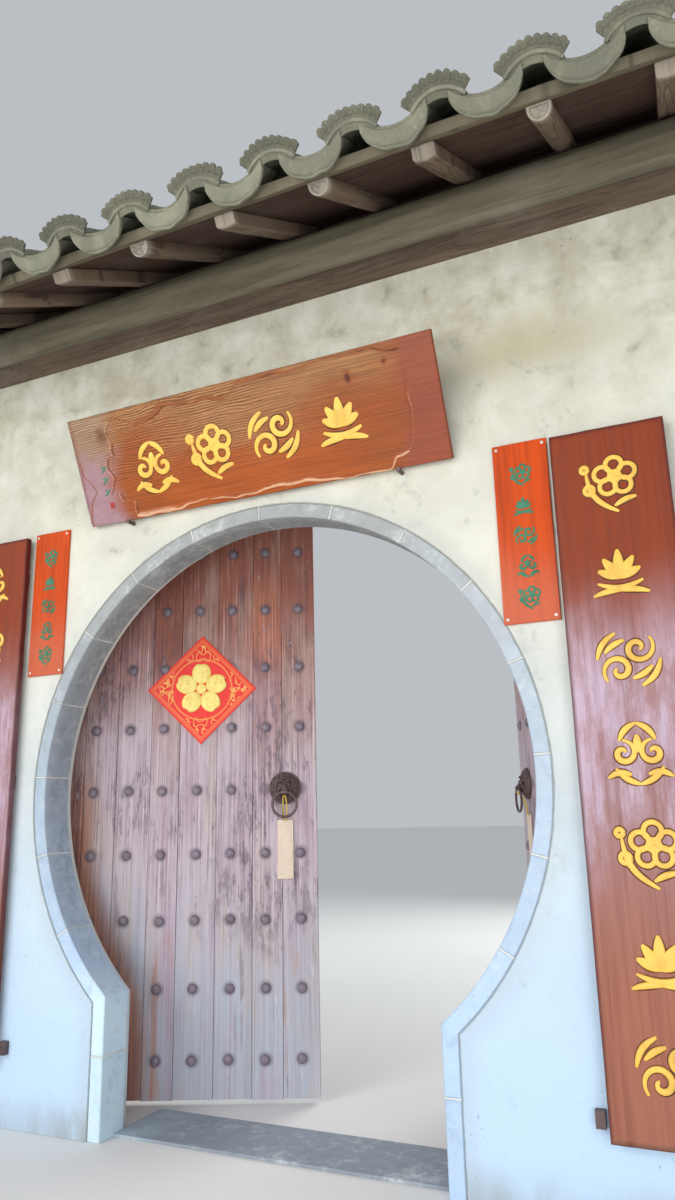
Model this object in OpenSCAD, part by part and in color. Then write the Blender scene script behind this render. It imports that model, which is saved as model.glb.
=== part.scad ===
// Garden wall with a round doorway, two timber gate leaves and a small tiled roof.
// Millimetres. +Z is up, +X runs along the wall, +Y runs through it to the inner side.
// The origin is on the ground at the doorway's centre, midway through the wall.

/* [Output] */
// Sub-part to build, or all of them

/* [Wall] */
// Thickness of the masonry
wall_t = 370; // [300:5:600]
// Half of the wall's length
wall_half = 2000; // [1700:10:3000]
// Height of the masonry over the recess behind the doorway
wall_over_h = 530; // [400:5:900]
// Distance from a pivot to the side of the recess behind the doorway
recess_side = 85; // [60:1:150]
// Thickness of the thin wall round the ring
screen_t = 180; // [150:5:240]

/* [Ring] */
// Clear radius of the round doorway
ring_r = 1000; // [850:10:1100]
// Height of the ring's centre
ring_z = 1245.7; // [1100:0.1:1400]
// Width of the stone band on the wall's face
band_w = 54; // [40:1:120]
// Depth of the stones into the wall
stone_d = 140; // [100:5:170]
// Half of the clear width between the straight jambs
jamb_half = 651; // [500:1:800]
// Width of the joint between two stones
joint_w = 5; // [2:0.5:10]
// Angle from one ring joint to the next
stone_step = 17.43; // [12:0.01:24]
// Ring stones on each side of the crown
stone_count = 7; // [5:1:9]
// Height of the foot stones of the jambs
foot_h = 280; // [150:5:400]
// Distance that the masonry behind the stones stands back
reveal_back = 22; // [5:1:40]
// Height of the threshold stone
sill_h = 10; // [5:1:15]
// Depth of the threshold stone from the wall's inner face
sill_d = 290; // [200:5:360]

/* [Leaves] */
// Distance of each pivot beyond the band's outer edge
pivot_side = 146; // [110:1:200]
// Gap between the thin wall and a closed leaf
leaf_back = 20; // [15:1:40]
// Thickness of the planks of a leaf
leaf_t = 45; // [30:1:60]
// Distance of a closed leaf's free edge from the doorway's centre
leaf_meet = 3; // [2:0.5:20]
// Height of a leaf's lower edge
leaf_bottom = 18; // [15:1:40]
// Height of the leaves above the band's outer edge
leaf_over = 155.3; // [100:0.1:250]
// Angle that the left leaf stands open
open_left = 23.1; // [0:0.1:90]
// Angle that the right leaf stands open
open_right = 64.5; // [0:0.1:90]
// Battens on the back of a leaf
batten_count = 9; // [5:1:11]
// Distance of the lowest batten's middle from the leaf's lower edge
batten_low_in = 147.3; // [60:0.1:250]
// Distance of the highest batten's middle from the leaf's upper edge
batten_high_in = 143.3; // [60:0.1:250]
// Height of a batten
batten_h = 60; // [40:1:90]
// Thickness of a batten
batten_t = 32; // [20:1:45]
// Distance from the pivot to the start of a batten
batten_start = 40; // [35:1:80]
// Distance that a batten stops short of the free edge
batten_short = 20; // [10:1:60]

/* [Pivots] */
// Radius of the pivot posts
post_r = 28; // [24:0.5:32]
// Distance from the pivot to the joint between post and planks
post_flat = 18; // [12:0.5:22]
// Thickness of the tongue on the post
tongue_t = 15; // [10:0.5:20]
// Depth of the tongue in the planks
tongue_d = 20; // [10:1:30]
// Radius of the round pins at the post's ends
pin_r = 22; // [16:0.5:24]
// Running clearance round the pins
pin_clear = 0.4; // [0.3:0.05:0.8]
// Length of the upper pin above the post
pin_top = 75; // [50:1:100]
// Depth of the upper bore beyond the pin's end
pin_over = 6; // [2:0.5:20]
// Height of the lower pin's end
pin_foot = 3; // [2.5:0.1:6]
// Height of the pivot stones
pivot_stone_h = 12; // [10:0.5:13]
// Width of the pivot stones along the wall
pivot_stone_w = 125; // [115:1:160]
// Depth of the pivot stones
pivot_stone_d = 84; // [70:1:120]
// Height of the head beam over the leaves
beam_h = 145; // [100:5:200]
// Gap between the leaves and the head beam
beam_gap = 20; // [5:1:40]
// Depth of the head beam
beam_d = 120; // [90:5:160]

/* [Knockers] */
// Distance from a leaf's free edge to the knocker's middle
knock_in = 137; // [100:1:300]
// Height of the knocker's middle
knock_z = 1240; // [1100:1:1400]
// Radius of the round plate
plate_r = 69.5; // [55:0.5:80]
// Thickness of the round plate
plate_t = 5; // [3:0.5:8]
// Distance of the plate's beaded rim from its edge
rim_in = 4; // [3.5:0.1:8]
// Radius of the bead
rim_r = 3.5; // [2:0.1:4]
// Radius of the domed face
face_r = 50; // [40:1:60]
// Height of the domed face on the plate
face_h = 21; // [12:1:30]
// Distance of the eyes from the middle
eye_x = 17; // [12:0.5:24]
// Height of the eyes above the middle
eye_up = 14; // [8:0.5:22]
// Distance of the eyes' centres from the plate
eye_out = 17; // [12:0.5:22]
// Radius of the eyes
eye_r = 9; // [5:0.5:12]
// Distance of the ears from the middle
ear_x = 34; // [28:0.5:42]
// Height of the ears above the middle
ear_up = 30; // [22:0.5:40]
// Distance of the ears' centres from the plate
ear_out = 7; // [6:0.5:12]
// Radius of the ears
ear_r = 11; // [6:0.5:11]
// Height of the nose above the middle
nose_up = 4; // [0:0.5:10]
// Distance of the nose's centre from the plate
nose_out = 22; // [16:0.5:28]
// Radius of the nose
nose_r = 15; // [10:0.5:18]
// Width of the snout that holds the ring
snout_w = 24; // [18:1:34]
// Height of the snout above the ring's bar
snout_up = 16; // [12:0.5:24]
// Metal left round the hole through the snout
snout_wall = 3.7; // [2:0.1:6]
// Distance of the ring's bar from the leaf
ring_out = 44; // [38:0.5:52]
// Drop of the ring's bar below the plate's middle
ring_drop = 18; // [10:0.5:26]
// Radius of the ring's bar
bar_r = 5.5; // [4:0.25:7]
// Radius from the ring's middle to the middle of its bar
hoop_r = 52; // [42:0.5:60]
// Radius of the hole through the snout
hole_r = 7.3; // [6.5:0.1:9]

/* [Roof frame] */
// Slope of the roof
roof_a = 31; // [22:0.5:36]
// Distance of the rafters' lower ends from the wall's middle
eave_y = 735; // [600:5:900]
// Drop of the rafters' lower ends below the top of the masonry
eave_drop = 25.8; // [10:0.1:60]
// Distance of the verges from the middle of the last cover tiles
verge_out = 91; // [70:1:160]
// Width of the mortar strip under the verge tiles
verge_strip = 16; // [10:1:30]
// Distance from one rafter to the next
rafter_pitch = 365; // [280:1:450]
// Width of the square rafters
rafter_w = 75; // [50:1:100]
// Depth of the rafters
rafter_d = 50; // [40:1:80]
// Radius of the half-round rafters
rafter_r = 40; // [36:1:50]
// Thickness of the boarding
board_t = 18; // [12:1:30]
// Thickness of the bedding under the tiles
bed_t = 22; // [10:1:40]
// Width of the eave boards up the slope
eave_w = 50; // [40:1:80]
// Distance that the eave boards pass the rafters' ends
eave_out = 30; // [10:1:45]
// Height of the wall plates
plate_h = 101; // [60:1:140]
// Width of the wall plates
plate_w = 110; // [80:1:160]
// Distance that the wall plates pass the wall's faces
plate_out = 15; // [0:1:30]
// Radius of the purlin logs
log_r = 104.9; // [80:0.1:130]
// Distance of the purlin logs from the wall's middle
log_y = 152; // [110:1:180]
// Half of the logs' length
log_half = 2160; // [2000:5:2400]
// Radius of the ridge log
ridge_log_r = 59.9; // [45:0.1:90]
// Thickness of the masonry rib under the ridge log
core_t = 90; // [60:1:130]
// Height that the ridge log is cut flat to sit on its rib
log_seat = 4; // [2:0.5:10]

/* [Tiles] */
// Distance from one row of tiles to the next
tile_pitch = 286; // [240:1:320]
// Rows of pan tiles on each side of the middle row
pan_side = 7; // [5:1:9]
// Outer radius of the pan tiles
pan_r = 157.3; // [130:0.1:180]
// Thickness of the tiles
tile_t = 12; // [9:0.5:16]
// Height of the pan tiles
pan_h = 40; // [30:0.5:60]
// Outer radius of the cover tiles
cover_r = 118; // [95:0.5:130]
// Drop of the cover tiles' arc centre below the bedding's surface
cover_drop = 46; // [20:0.5:60]
// Height of the cover tiles' lower edges above the bedding
cover_edge = 29.6; // [20:0.1:40]
// Distance that the pan tiles pass the rafters' ends
pan_out = 77; // [60:1:90]
// Depth of the drip lips below the pan tiles
lip_h = 50; // [30:1:70]
// Radius of the drip lips
lip_r = 108.2; // [106:0.1:130]
// Distance that the cover tiles pass the rafters' ends
cover_out = 82; // [78:1:100]
// Radius of the fan's outer edge
fan_r = 154; // [135:1:165]
// Half angle of the fan
fan_a = 43; // [30:1:48]
// Scallops along the fan's edge
scallops = 9; // [5:2:13]
// Radius of one scallop
scallop_r = 13; // [8:0.5:14]
// Width of the ridge
ridge_w = 120; // [90:1:200]
// Height of the ridge above the rafters' upper ends
ridge_rise = 264.2; // [220:0.1:500]
// Radius of the ridge's rounded cap
ridge_cap_r = 78; // [65:1:110]
// Height of the ridge's rounded cap
ridge_cap_h = 38; // [20:1:45]

/* [Boards] */
// Half of the signboard's length
sign_half = 800; // [600:5:1000]
// Height of the signboard
sign_h = 450; // [300:5:550]
// Thickness of the signboard
sign_t = 28; // [18:1:45]
// Height of the signboard's lower edge above the band
sign_over = 35.3; // [15:0.1:200]
// Angle that the signboard leans forward
sign_lean = 25; // [0:0.5:35]
// Gap between the signboard's lower edge and the wall
sign_gap = 4.6; // [0:0.1:20]
// Distance of the pegs and stays from the signboard's middle
peg_x = 600; // [300:5:750]
// Radius of the pegs
peg_r = 8; // [5:0.5:14]
// Distance that the pegs pass the front of the signboard's lower edge
peg_over = 15; // [5:1:40]
// Height of the stays above the signboard's lower edge
stay_up = 355; // [200:5:380]
// Gap between the small boards and the long boards
long_side = 16; // [10:1:80]
// Width of the long boards
long_w = 360; // [250:1:450]
// Height of the long boards' lower edges
long_z = 227; // [100:1:400]
// Height of the long boards
long_h = 2108; // [1500:1:2200]
// Thickness of the long boards
long_t = 28; // [18:1:40]
// Thickness of the battens behind the long boards
long_gap = 22; // [15:1:40]
// Height of the battens behind the long boards
long_batten_h = 60; // [30:1:100]
// Distance of these battens from the long boards' edges
long_batten_in = 20; // [5:1:60]
// Distance of the outer battens from the long boards' ends
long_batten_end = 150; // [50:5:400]
// Distance of the small boards' inner edges inside the ring's outer radius
small_inset = 116; // [60:1:160]
// Width of the small boards
small_w = 186; // [120:1:200]
// Height of the small boards' lower edges
small_z = 1720; // [1500:5:1900]
// Height of the small boards
small_h = 635; // [400:5:700]
// Thickness of the small boards
small_t = 12; // [8:0.5:20]
// Gap between the iron stubs and the long boards
stub_side = 12; // [8:1:40]
// Width of the iron stubs
stub_w = 28; // [15:1:40]
// Height of the iron stubs
stub_h = 47; // [20:1:80]
// Distance that the iron stubs stand out of the wall
stub_out = 25; // [10:1:50]
// Height of the iron stubs' lower edges
stub_z = 255; // [200:1:400]

/* [Hidden] */
eps = 1;
seat_gap = 0.1;
far = 6000;
half_t = wall_t / 2;
face_y = -half_t;
screen_back = face_y + screen_t;
ring_out_r = ring_r + band_w;
pivot_x = ring_out_r + pivot_side;
recess_half = pivot_x + recess_side;
leaf_reach = pivot_x - leaf_meet;
knock_u = leaf_reach - knock_in;
joint_a = joint_w / (ring_r + band_w / 2) * 180 / PI;
low_a = 90 - stone_count * stone_step;
pivot_y = screen_back + leaf_back + leaf_t / 2;
leaf_top = ring_z + ring_out_r + leaf_over;
leaf_h = leaf_top - leaf_bottom;
batten_first = leaf_bottom + batten_low_in;
batten_pitch = (leaf_top - batten_high_in - batten_first) / (batten_count - 1);
pin_end = leaf_top + pin_top;
beam_z = leaf_top + beam_gap;
recess_h = beam_z + beam_h;
wall_h = recess_h + wall_over_h;
snout_r = hole_r + snout_wall;
face_ball = (face_r * face_r + face_h * face_h) / (2 * face_h);
board_n = rafter_d + board_t;
bed_n = board_n + bed_t;
pan_n = bed_n + pan_r + 2 * seat_gap;
pan_edge_n = bed_n + pan_h;
cover_n = bed_n - cover_drop;
cover_edge_n = bed_n + cover_edge;
lip_n = bed_n - lip_h + lip_r;
slope_top = cover_n + fan_r + scallop_r;
slope_len = (eave_y + slope_top * sin(roof_a)) / cos(roof_a) + eps;
roof_half = (pan_side + 0.5) * tile_pitch + verge_out;
rafter_side = floor(log_half / rafter_pitch + 0.5);
eave_z = wall_h - eave_drop;
apex_z = eave_z + eave_y * tan(roof_a);
ridge_top = apex_z + ridge_rise;
plate_top = wall_h + plate_h;
log_z = apex_z - log_y * tan(roof_a) - (log_r + seat_gap) / cos(roof_a);
ridge_log_z = apex_z - (ridge_log_r + seat_gap) / cos(roof_a);
core_top = ridge_log_z - ridge_log_r + log_seat;
sign_y = face_y - sign_gap;
sign_z = ring_z + ring_out_r + sign_over;
stay_z = sign_z + stay_up;
sign_low_z = sign_z + sign_t * sin(sign_lean);
long_y = face_y - long_gap - long_t;
small_in = ring_out_r - small_inset;
long_in = small_in + small_w + long_side;

plaster = [0.88, 0.87, 0.83];
stone = [0.66, 0.69, 0.66];
timber = [0.45, 0.34, 0.29];
old_wood = [0.42, 0.40, 0.34];
tile = [0.50, 0.55, 0.49];
iron = [0.22, 0.22, 0.23];
varnish = [0.62, 0.27, 0.13];
orange = [0.83, 0.25, 0.13];

// Placing

module both_sides() {
    children();
    mirror([1, 0, 0]) children();
}

module both_faces() {
    children();
    mirror([0, 1, 0]) children();
}

// Stands a profile drawn in X and Z upright, from y0 through the given depth
module upright(y0, depth) {
    translate([0, y0 + depth, 0])
        rotate([90, 0, 0])
            linear_extrude(height = depth)
                children();
}

// Roof slope: local Y runs up the slope and local Z stands square to it
module on_slope() {
    translate([0, -eave_y, eave_z])
        rotate([roof_a, 0, 0])
            children();
}

// Keeps what lies in front of the plane y = limit
module in_front_of(limit) {
    intersection() {
        children();
        translate([-far / 2, limit - far, 0])
            cube([far, far, far]);
    }
}

// Runs a profile drawn in X and Z up the slope from s0 to s1
module up_slope(s0, s1) {
    translate([0, s1, 0])
        rotate([90, 0, 0])
            linear_extrude(height = s1 - s0)
                children();
}

module place_left_leaf() {
    translate([-pivot_x, pivot_y, 0])
        rotate([0, 0, open_left])
            children();
}

module place_right_leaf() {
    translate([pivot_x, pivot_y, 0])
        rotate([0, 0, -open_right])
            mirror([1, 0, 0])
                children();
}

// Knocker: local Z points away from the leaf and local Y is up
module on_leaf_face() {
    translate([knock_u, -leaf_t / 2, knock_z])
        rotate([90, 0, 0])
            children();
}

// Doorway outline: a circle of radius r that runs down into two straight jambs
module doorway(r) {
    jamb = jamb_half + r - ring_r;
    translate([0, ring_z])
        circle(r = r, $fn = 180);
    translate([-jamb, -eps])
        square([2 * jamb, ring_z / 2 + eps]);
}

// Masonry

module pier() {
    translate([-wall_half, face_y, 0])
        cube([wall_half - recess_half, wall_t, wall_h]);
}

module wall_over() {
    translate([-recess_half, face_y, recess_h])
        cube([2 * recess_half, wall_t, wall_h - recess_h]);
}

// Quarter of the thin wall, on the left of the doorway between two heights
module screen_quarter(z0, z1) {
    upright(face_y, stone_d)
        difference() {
            translate([-recess_half, z0])
                square([recess_half, z1 - z0]);
            doorway(ring_out_r);
        }
    upright(face_y + stone_d, screen_t - stone_d)
        difference() {
            translate([-recess_half, z0])
                square([recess_half, z1 - z0]);
            doorway(ring_r + reveal_back);
        }
}

module screen_upper() {
    screen_quarter(ring_z, recess_h);
}

module screen_lower() {
    screen_quarter(0, ring_z);
}

// Seven wedge-shaped stones from the crown down to the last ring joint
module ring_stones() {
    for (i = [0 : stone_count - 1]) {
        translate([0, face_y + stone_d, ring_z])
            rotate([90, 0, 0])
                rotate([0, 0, low_a + i * stone_step + joint_a / 2])
                    rotate_extrude(angle = stone_step - joint_a, $fn = 180)
                        translate([ring_r, 0])
                            square([band_w, stone_d]);
    }
}

// Half of the plane below a line through the ring's centre at angle a
module below_joint(a) {
    translate([0, ring_z])
        rotate([0, 0, a])
            translate([0, -far])
                square([far, far]);
}

// Stone that turns the corner from the ring into the straight jamb
module corner_stone() {
    upright(face_y, stone_d)
        intersection() {
            difference() {
                doorway(ring_out_r);
                doorway(ring_r);
            }
            below_joint(low_a - joint_a / 2);
            translate([0, foot_h + joint_w / 2])
                square([far, far]);
        }
}

module foot_stone() {
    translate([jamb_half, face_y, 0])
        cube([band_w, stone_d, foot_h - joint_w / 2]);
}

module jamb_stones() {
    both_sides() {
        corner_stone();
        foot_stone();
    }
}

module threshold_stone() {
    translate([-jamb_half, half_t - sill_d, 0])
        cube([2 * jamb_half, sill_d, sill_h]);
}

module pivot_stones() {
    both_sides()
        difference() {
            translate([recess_half - pivot_stone_w, screen_back, 0])
                cube([pivot_stone_w, pivot_stone_d, pivot_stone_h]);
            translate([pivot_x, pivot_y, pin_foot - pin_clear])
                cylinder(r = pin_r + pin_clear, h = pivot_stone_h, $fn = 64);
        }
}

module ridge_core() {
    translate([-wall_half, -core_t / 2, wall_h])
        cube([2 * wall_half, core_t, core_top - seat_gap - wall_h]);
}

// Roof frame

module head_beam() {
    difference() {
        translate([-recess_half, screen_back, beam_z])
            cube([2 * recess_half, beam_d, beam_h]);
        both_sides()
            translate([pivot_x, pivot_y, beam_z - eps])
                cylinder(r = pin_r + pin_clear, h = pin_end + pin_over - beam_z, $fn = 64);
    }
}

module wall_plates() {
    both_faces()
        translate([-wall_half, face_y - plate_out, wall_h])
            cube([2 * wall_half, plate_w, plate_h]);
}

module round_log(r, z, half) {
    translate([-half, 0, z])
        rotate([0, 90, 0])
            cylinder(r = r, h = 2 * half, $fn = 72);
}

module purlins() {
    both_faces()
        difference() {
            translate([0, -log_y, 0])
                round_log(log_r, log_z, log_half);
            translate([-far / 2, -far / 2, plate_top - far])
                cube([far, far, far]);
        }
}

module ridge_log() {
    difference() {
        round_log(ridge_log_r, ridge_log_z, log_half);
        translate([-far / 2, -far / 2, core_top - far])
            cube([far, far, far]);
    }
}

module square_rafter() {
    translate([-rafter_w / 2, 0])
        square([rafter_w, rafter_d]);
}

module round_rafter() {
    intersection() {
        translate([0, rafter_r])
            circle(r = rafter_r, $fn = 48);
        translate([-rafter_r, 0])
            square([2 * rafter_r, rafter_d]);
    }
}

// Square and half-round rafters take turns along the wall
module rafters() {
    for (i = [-rafter_side : rafter_side - 1]) {
        in_front_of(0)
            on_slope()
                translate([(i + 0.5) * rafter_pitch, 0, 0])
                    up_slope(0, slope_len)
                        if (i % 2 == 0)
                            square_rafter();
                        else
                            round_rafter();
    }
}

// Slab over the whole roof length between two heights above the rafters
module roof_slab(s0, n0, n1) {
    in_front_of(0)
        on_slope()
            translate([-roof_half, s0, n0])
                cube([2 * roof_half, slope_len - s0, n1 - n0]);
}

module boarding() {
    roof_slab(eave_w - eave_out, rafter_d, board_n);
}

// Mortar bed over both slopes, with a raised strip under each verge
module bedding() {
    both_faces() {
        roof_slab(eave_w - eave_out, board_n, bed_n);
        both_sides()
            in_front_of(-ridge_w / 2)
                on_slope()
                    translate([roof_half - verge_strip, eave_w - eave_out, bed_n - eps])
                        cube([verge_strip, slope_len - eave_w, cover_edge + eps]);
    }
}

module eave_boards() {
    both_faces()
        on_slope()
            translate([-roof_half, -eave_out, rafter_d])
                cube([2 * roof_half, eave_w, bed_n - rafter_d]);
}

// Tiles

module pan_arc() {
    intersection() {
        translate([0, pan_n])
            difference() {
                circle(r = pan_r, $fn = 72);
                circle(r = pan_r - tile_t, $fn = 72);
            }
        translate([-pan_r, 0])
            square([2 * pan_r, pan_edge_n]);
    }
}

// Rounded drip lip that hangs from the lowest pan tile
module drip_lip() {
    difference() {
        intersection() {
            translate([0, lip_n])
                circle(r = lip_r, $fn = 60);
            translate([-pan_r, 0])
                square([2 * pan_r, pan_edge_n]);
        }
        translate([0, pan_n])
            circle(r = pan_r - tile_t, $fn = 72);
    }
}

module pan_tiles() {
    for (k = [-pan_side : pan_side]) {
        translate([k * tile_pitch, 0, 0]) {
            in_front_of(-ridge_w / 2)
                on_slope() {
                    up_slope(-pan_out, slope_len)
                        pan_arc();
                    up_slope(-pan_out, tile_t - pan_out)
                        drip_lip();
                }
        }
    }
}

module cover_arc() {
    difference() {
        intersection() {
            translate([0, cover_n])
                circle(r = cover_r, $fn = 60);
            translate([-cover_r, cover_edge_n])
                square([2 * cover_r, cover_r]);
        }
        translate([0, cover_n])
            circle(r = cover_r - tile_t, $fn = 60);
    }
}

// Scalloped fan that stands on the lowest cover tile like a low crown
module fan_end() {
    side = far * sin(fan_a);
    rise = far * cos(fan_a);
    translate([0, cover_n])
        difference() {
            union() {
                intersection() {
                    circle(r = fan_r, $fn = 60);
                    polygon([[0, 0], [side, rise], [-side, rise]]);
                }
                for (i = [0 : scallops - 1])
                    rotate([0, 0, fan_a * (2 * i / (scallops - 1) - 1)])
                        translate([0, fan_r])
                            circle(r = scallop_r, $fn = 16);
            }
            circle(r = cover_r - tile_t, $fn = 60);
        }
}

module cover_tiles() {
    for (k = [-pan_side - 1 : pan_side]) {
        translate([(k + 0.5) * tile_pitch, 0, 0]) {
            in_front_of(-ridge_w / 2)
                on_slope() {
                    up_slope(-cover_out, slope_len)
                        cover_arc();
                    up_slope(-cover_out, tile_t - cover_out)
                        fan_end();
                }
        }
    }
}

module roof_ridge() {
    bed_apex = apex_z + bed_n / cos(roof_a);
    bed_side = bed_apex - ridge_w / 2 * tan(roof_a);
    cap_low = ridge_top - ridge_cap_h;
    translate([-roof_half, 0, 0])
        rotate([90, 0, 90])
            linear_extrude(height = 2 * roof_half) {
                polygon([
                    [-ridge_w / 2, bed_side], [0, bed_apex], [ridge_w / 2, bed_side],
                    [ridge_w / 2, cap_low + eps], [-ridge_w / 2, cap_low + eps]
                ]);
                intersection() {
                    translate([0, ridge_top - ridge_cap_r])
                        circle(r = ridge_cap_r, $fn = 60);
                    translate([-ridge_cap_r, cap_low])
                        square([2 * ridge_cap_r, ridge_cap_r]);
                }
            }
}

// Leaves, drawn closed with the pivot on the Z axis and the leaf along +X

module leaf() {
    difference() {
        translate([post_flat, -leaf_t / 2, leaf_bottom])
            cube([leaf_reach - post_flat, leaf_t, leaf_h]);
        translate([post_flat - eps, -tongue_t / 2, leaf_bottom - eps])
            cube([tongue_d + eps, tongue_t, leaf_h + 2 * eps]);
    }
}

module pivot_post() {
    difference() {
        translate([0, 0, leaf_bottom])
            cylinder(r = post_r, h = leaf_h, $fn = 64);
        translate([post_flat, -post_r - eps, leaf_bottom - eps])
            cube([post_r, 2 * post_r + 2 * eps, leaf_h + 2 * eps]);
    }
    translate([post_flat - eps, -tongue_t / 2, leaf_bottom])
        cube([tongue_d + eps, tongue_t, leaf_h]);
    translate([0, 0, pin_foot])
        cylinder(r = pin_r, h = leaf_bottom - pin_foot, $fn = 64);
    translate([0, 0, leaf_top])
        cylinder(r = pin_r, h = pin_top, $fn = 64);
}

module battens() {
    for (k = [0 : batten_count - 1])
        translate([batten_start, leaf_t / 2, batten_first + k * batten_pitch - batten_h / 2])
            cube([leaf_reach - batten_short - batten_start, batten_t, batten_h]);
}

// Round plate with a domed beast face, whose snout is bored for the ring
module knocker() {
    on_leaf_face()
        difference() {
            union() {
                cylinder(r = plate_r, h = plate_t, $fn = 72);
                translate([0, 0, plate_t])
                    rotate_extrude($fn = 72)
                        translate([plate_r - rim_in, 0])
                            circle(r = rim_r, $fn = 16);
                intersection() {
                    translate([0, 0, plate_t + face_h - face_ball])
                        sphere(r = face_ball, $fn = 96);
                    translate([0, 0, plate_t - eps])
                        cylinder(r = face_r, h = face_ball, $fn = 72);
                }
                for (side = [-1, 1]) {
                    translate([side * eye_x, eye_up, plate_t + eye_out])
                        sphere(r = eye_r, $fn = 24);
                    translate([side * ear_x, ear_up, plate_t + ear_out])
                        sphere(r = ear_r, $fn = 24);
                }
                translate([0, nose_up, plate_t + nose_out])
                    sphere(r = nose_r, $fn = 32);
                translate([-snout_w / 2, -ring_drop - snout_r, plate_t - eps])
                    cube([snout_w, snout_r + snout_up, ring_out - plate_t + 2 * eps]);
                translate([-snout_w / 2, -ring_drop, ring_out])
                    rotate([0, 90, 0])
                        cylinder(r = snout_r, h = snout_w, $fn = 48);
            }
            translate([-snout_w, -ring_drop, ring_out])
                rotate([0, 90, 0])
                    cylinder(r = hole_r, h = 2 * snout_w, $fn = 48);
        }
}

module knocker_ring() {
    on_leaf_face()
        translate([0, -ring_drop - hoop_r, ring_out])
            rotate([0, 0, 90])
                rotate_extrude($fn = 72)
                    translate([hoop_r, 0])
                        circle(r = bar_r, $fn = 24);
}

// Boards

module sign_block() {
    translate([-sign_half, sign_y, sign_low_z])
        rotate([sign_lean, 0, 0])
            translate([0, -sign_t, 0])
                cube([2 * sign_half, sign_t, sign_h]);
}

// Pegs under the signboard, stays behind it and stubs beside the long boards
module sign_irons() {
    peg_reach = sign_gap + sign_t * cos(sign_lean) + peg_over;
    stay_reach = sign_gap + (stay_z - sign_low_z) * tan(sign_lean) + sign_t / 2;
    both_sides() {
        translate([peg_x, face_y, sign_z - peg_r])
            rotate([90, 0, 0])
                cylinder(r = peg_r, h = peg_reach, $fn = 32);
        difference() {
            translate([peg_x, face_y, stay_z])
                rotate([90, 0, 0])
                    cylinder(r = peg_r, h = stay_reach, $fn = 32);
            sign_block();
        }
        translate([long_in - stub_side - stub_w, face_y - stub_out, stub_z])
            cube([stub_w, stub_out, stub_h]);
    }
}

module couplet() {
    translate([-long_in - long_w, long_y, long_z])
        cube([long_w, long_t, long_h]);
}

module couplet_battens() {
    step = (long_h - 2 * long_batten_end - long_batten_h) / 2;
    both_sides()
        for (k = [0 : 2])
            translate([long_in + long_batten_in, face_y - long_gap, long_z + long_batten_end + k * step])
                cube([long_w - 2 * long_batten_in, long_gap, long_batten_h]);
}

module small_boards() {
    both_sides()
        translate([small_in, face_y - small_t, small_z])
            cube([small_w, small_t, small_h]);
}

color(plaster) pier();  // pier_left
color(plaster) mirror([1, 0, 0]) pier();  // pier_right
color(plaster) wall_over();
color(plaster) screen_upper();  // screen_upper_left
color(plaster) mirror([1, 0, 0]) screen_upper();  // screen_upper_right
color(plaster) screen_lower();  // screen_lower_left
color(plaster) mirror([1, 0, 0]) screen_lower();  // screen_lower_right
color(stone) mirror([1, 0, 0]) ring_stones();  // ring_stones_left
color(stone) ring_stones();  // ring_stones_right
color(stone) jamb_stones();
color(stone) threshold_stone();
color(stone) pivot_stones();
color(timber) head_beam();
color(old_wood) wall_plates();
color(old_wood) purlins();
color(plaster) ridge_core();
color(old_wood) ridge_log();
color(old_wood) rafters();  // rafters_front
color(old_wood) mirror([0, 1, 0]) rafters();  // rafters_back
color(timber) boarding();  // boarding_front
color(timber) mirror([0, 1, 0]) boarding();  // boarding_back
color(stone) bedding();
color(old_wood) eave_boards();
color(tile) pan_tiles();  // pan_tiles_front
color(tile) mirror([0, 1, 0]) pan_tiles();  // pan_tiles_back
color(tile) cover_tiles();  // cover_tiles_front
color(tile) mirror([0, 1, 0]) cover_tiles();  // cover_tiles_back
color(tile) roof_ridge();
color(timber) place_left_leaf() leaf();  // leaf_left
color(timber) place_right_leaf() leaf();  // leaf_right
color(timber) place_left_leaf() pivot_post();  // pivot_post_left
color(timber) place_right_leaf() pivot_post();  // pivot_post_right
color(timber) place_left_leaf() battens();  // battens_left
color(timber) place_right_leaf() battens();  // battens_right
color(iron) place_left_leaf() knocker();  // knocker_left
color(iron) place_right_leaf() knocker();  // knocker_right
color(iron) place_left_leaf() knocker_ring();  // knocker_ring_left
color(iron) place_right_leaf() knocker_ring();  // knocker_ring_right
color(varnish) sign_block();  // signboard
color(iron) sign_irons();
color(varnish) couplet();  // couplet_left
color(varnish) mirror([1, 0, 0]) couplet();  // couplet_right
color(timber) couplet_battens();
color(orange) small_boards();
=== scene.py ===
"""Looks for a round gate: limewashed plaster, cut stone, old planks, clay tiles and carved boards."""
import math
from functools import partial

import bpy
import numpy as np
from bpy.props import FloatProperty, FloatVectorProperty, IntProperty, PointerProperty
from mathutils import Matrix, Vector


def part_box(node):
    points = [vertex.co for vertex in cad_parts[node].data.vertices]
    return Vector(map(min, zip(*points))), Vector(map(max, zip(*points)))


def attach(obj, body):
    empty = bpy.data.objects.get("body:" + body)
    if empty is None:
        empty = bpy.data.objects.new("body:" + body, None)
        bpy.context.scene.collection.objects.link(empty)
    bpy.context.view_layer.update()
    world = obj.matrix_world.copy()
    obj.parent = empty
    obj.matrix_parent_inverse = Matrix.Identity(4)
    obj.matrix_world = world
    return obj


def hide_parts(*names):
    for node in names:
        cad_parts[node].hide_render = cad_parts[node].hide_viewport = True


bl_info = {
    "name": "Round garden gate",
    "version": (1, 0, 0),
    "blender": (4, 5, 0),
    "location": "3D View > Sidebar > Gate",
    "description": "Builds the stone ring, the leaves, the roof tiles and the boards of a round garden gate",
    "category": "Add Mesh",
}

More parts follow.
